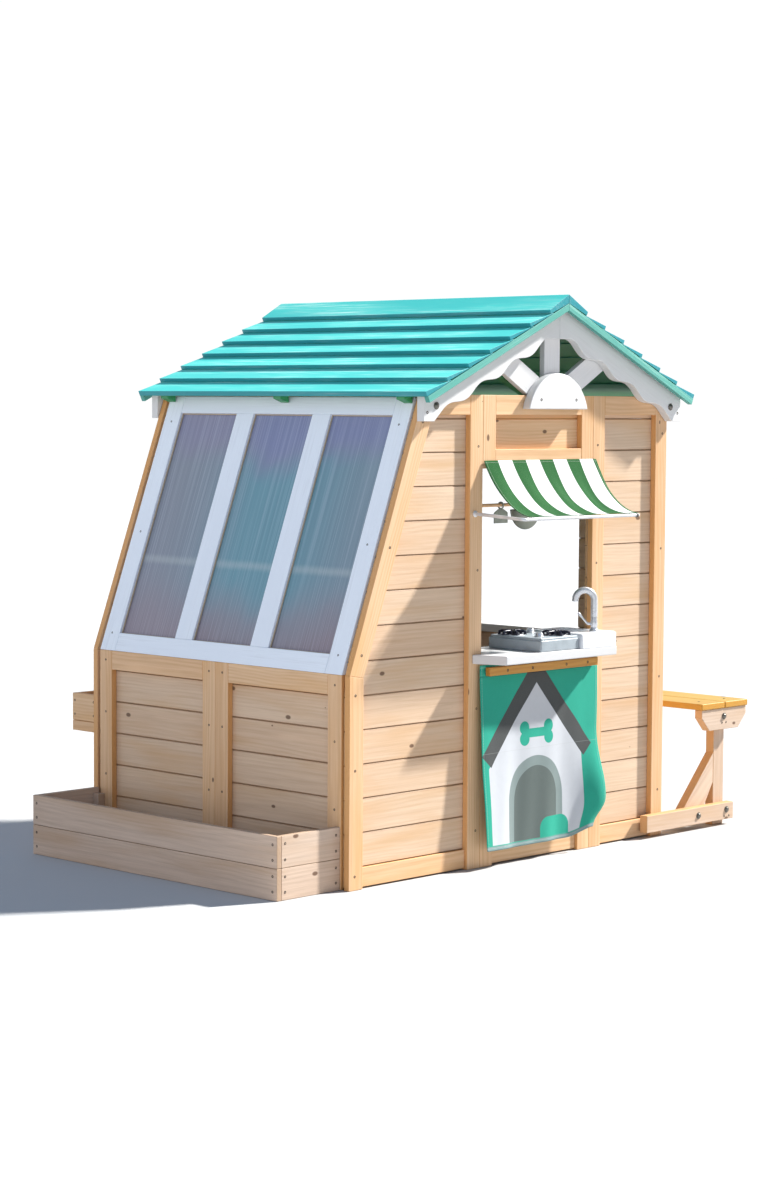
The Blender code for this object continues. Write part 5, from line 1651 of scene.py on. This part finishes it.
def make_hinges():
    """Strap hinges: three knuckles, and a tapered strap with screws."""
    for place in ("lower", "upper"):
        low, high = local_box("door_hinge_" + place)
        hinge = Parts("strap_hinge_" + place, ZINC, ["door_hinge_" + place], "door", "hinge_steel")
        radius = 0.0055
        pin = (high.x - radius, high.y - radius)
        middle = (low.z + high.z) / 2
        for k in range(3):
            z0 = low.z + 0.04 * k / 3 + GAP
            profile = [(0, 0), (radius - 0.0006, 0), (radius, 0.0006)]
            profile += [(radius, 0.0121), (radius - 0.0006, 0.0127), (0, 0.0127)]
            hinge.turned(profile, (*pin, z0), segments=28)
        face = DEPTH - 0.0006
        tip = [(pin[0], middle - 0.0115), (low.x + 0.05, middle - 0.0085), (low.x + 0.010, middle - 0.0068)]
        for i in range(9):
            a = -math.pi / 2 - math.pi * i / 8
            tip.append((low.x + 0.0075 + 0.0075 * math.cos(a), middle + 0.0075 * math.sin(a)))
        tip += [(low.x + 0.010, middle + 0.0068), (low.x + 0.05, middle + 0.0085), (pin[0], middle + 0.0115)]
        hinge.prism(tip, "Y", face, face + 0.0022, 0.0005, 2)
        for x in (low.x + 0.012, low.x + 0.06, low.x + 0.11):
            hinge.turned(SCREW_HEAD, (x, face + 0.0022, middle), Y_WAY, 14)
        hinge.make()


def make_handle():
    low, high = local_box("door_handle")
    grip = Parts("door_pull", ZINC, ["door_handle"], "door", "hinge_steel")
    x, out = (low.x + high.x) / 2, high.y - 0.005
    ends = (low.z + 0.005, high.z - 0.005)
    face = DEPTH - 0.0009
    path = [(x, face, ends[0]), (x, out, ends[0]), (x, out, ends[1]), (x, face, ends[1])]
    grip.tube(rounded(path, 0.012, 8), 0.0047, 16)
    for z in ends:
        grip.turned([(0, 0), (0.0078, 0), (0.0078, 0.0014), (0.0048, 0.0028)], (x, face, z), Y_WAY, 24)
    grip.make()


# ---------------------------------------------------------------- stage
FLOOR_REACH = 30.0
FLOOR_Z = -0.0005
SUN_POWER = 8.8
SUN_SPREAD = math.radians(3)
SUN_COLOR = (1.0, 0.985, 0.94)
SUN_WAY = (-0.55, 0.22, -0.53)
SKY_LOW = (1.02, 1.02, 1.02)
SKY_TOP = (0.27, 0.38, 0.56)
SKY_RISE = (0.16, 0.50)  # where the low sky turns into the top, as the direction's Z
SKY_LEFT = (0.35, 0.95, (1.30, 1.23, 1.16))  # from, to and tint, over the direction's Y minus X
SKY_RIGHT = (-0.35, -0.95, (0.44, 0.41, 0.39))
LENS = 78.3
SENSOR = 36.0
CAMERA_PLACE = (-52.649 * P, -52.272 * P, 14.028 * P)
YAW, DIP, ROLL = math.radians(46.085), math.radians(4.256), math.radians(0.350)


class SkyShader(Shader):
    """The same helpers for a world's node network."""

    def __init__(self, world):
        self.tree = world.node_tree


def make_floor():
    s = Shader("floor")
    place = s.node("ShaderNodeTexCoord").outputs["Object"]
    s.set(color=s.mix(s.noise(place, 3.0, 3.0), (0.51, 0.51, 0.51), (0.49, 0.49, 0.49)), rough=0.9, spec=0.1)
    mesh = bpy.data.meshes.new("floor")
    corners = rectangle(-FLOOR_REACH, -FLOOR_REACH, FLOOR_REACH, FLOOR_REACH)
    mesh.from_pydata([(x, y, FLOOR_Z) for x, y in corners], [], [(0, 1, 2, 3)])
    mesh.materials.append(s.material)
    linked("floor", mesh)


def make_sky():
    """A pale dome: white low down, dim blue overhead, brighter on the camera's left, darker on its right."""
    world = bpy.data.worlds.new("studio")
    world.use_nodes = True
    s = SkyShader(world)
    x, y, z = s.split(s.node("ShaderNodeTexCoord").outputs["Generated"])
    color = s.mix(s.between(z, *SKY_RISE), SKY_LOW, SKY_TOP)
    across = s.sub(y, x)
    for start, end, tint in (SKY_LEFT, SKY_RIGHT):
        color = s.mix(s.between(across, start, end), color, tint, "MULTIPLY")
    s.put(s.tree.nodes["Background"].inputs[0], color)
    bpy.context.scene.world = world


def make_sun():
    sun = bpy.data.lights.new("key", "SUN")
    sun.energy = SUN_POWER
    sun.angle = SUN_SPREAD
    sun.color = SUN_COLOR
    linked("key", sun).rotation_euler = Vector(SUN_WAY).to_track_quat("-Z", "Y").to_euler()


def make_camera():
    """A long lens from afar, turned from +Y toward +X by the yaw, then down by the dip, then rolled."""
    camera = bpy.data.cameras.new("camera")
    camera.lens = LENS
    camera.sensor_width = SENSOR
    camera.clip_end = 200.0
    ahead = Vector((math.sin(YAW) * math.cos(DIP), math.cos(YAW) * math.cos(DIP), -math.sin(DIP)))
    level = Vector((math.cos(YAW), -math.sin(YAW), 0.0))
    upright = level.cross(ahead)
    right = math.cos(ROLL) * level + math.sin(ROLL) * upright
    up = -math.sin(ROLL) * level + math.cos(ROLL) * upright
    turn = Matrix((right, up, -ahead)).transposed()
    obj = linked("camera", camera)
    obj.matrix_world = Matrix.Translation(house(*CAMERA_PLACE)) @ turn.to_4x4()
    bpy.context.scene.camera = obj
    bpy.context.scene.view_settings.view_transform = "Standard"


PANE = pane_material()
make_floor()
make_sky()
make_sun()
make_camera()
make_gable_walls()
make_greenhouse_wall()
make_bench_wall()
make_window()
make_slats()
make_gable_boards()
make_rafters()
make_sunburst()
make_counter()
make_stove()
make_knobs()
make_sink()
make_tap()
make_utensils()
make_awning()
make_curtain()
make_bench()
make_planters()
make_flower_box()
make_door()
make_hinges()
make_handle()
SCREWS.make()
BOLTS.make()
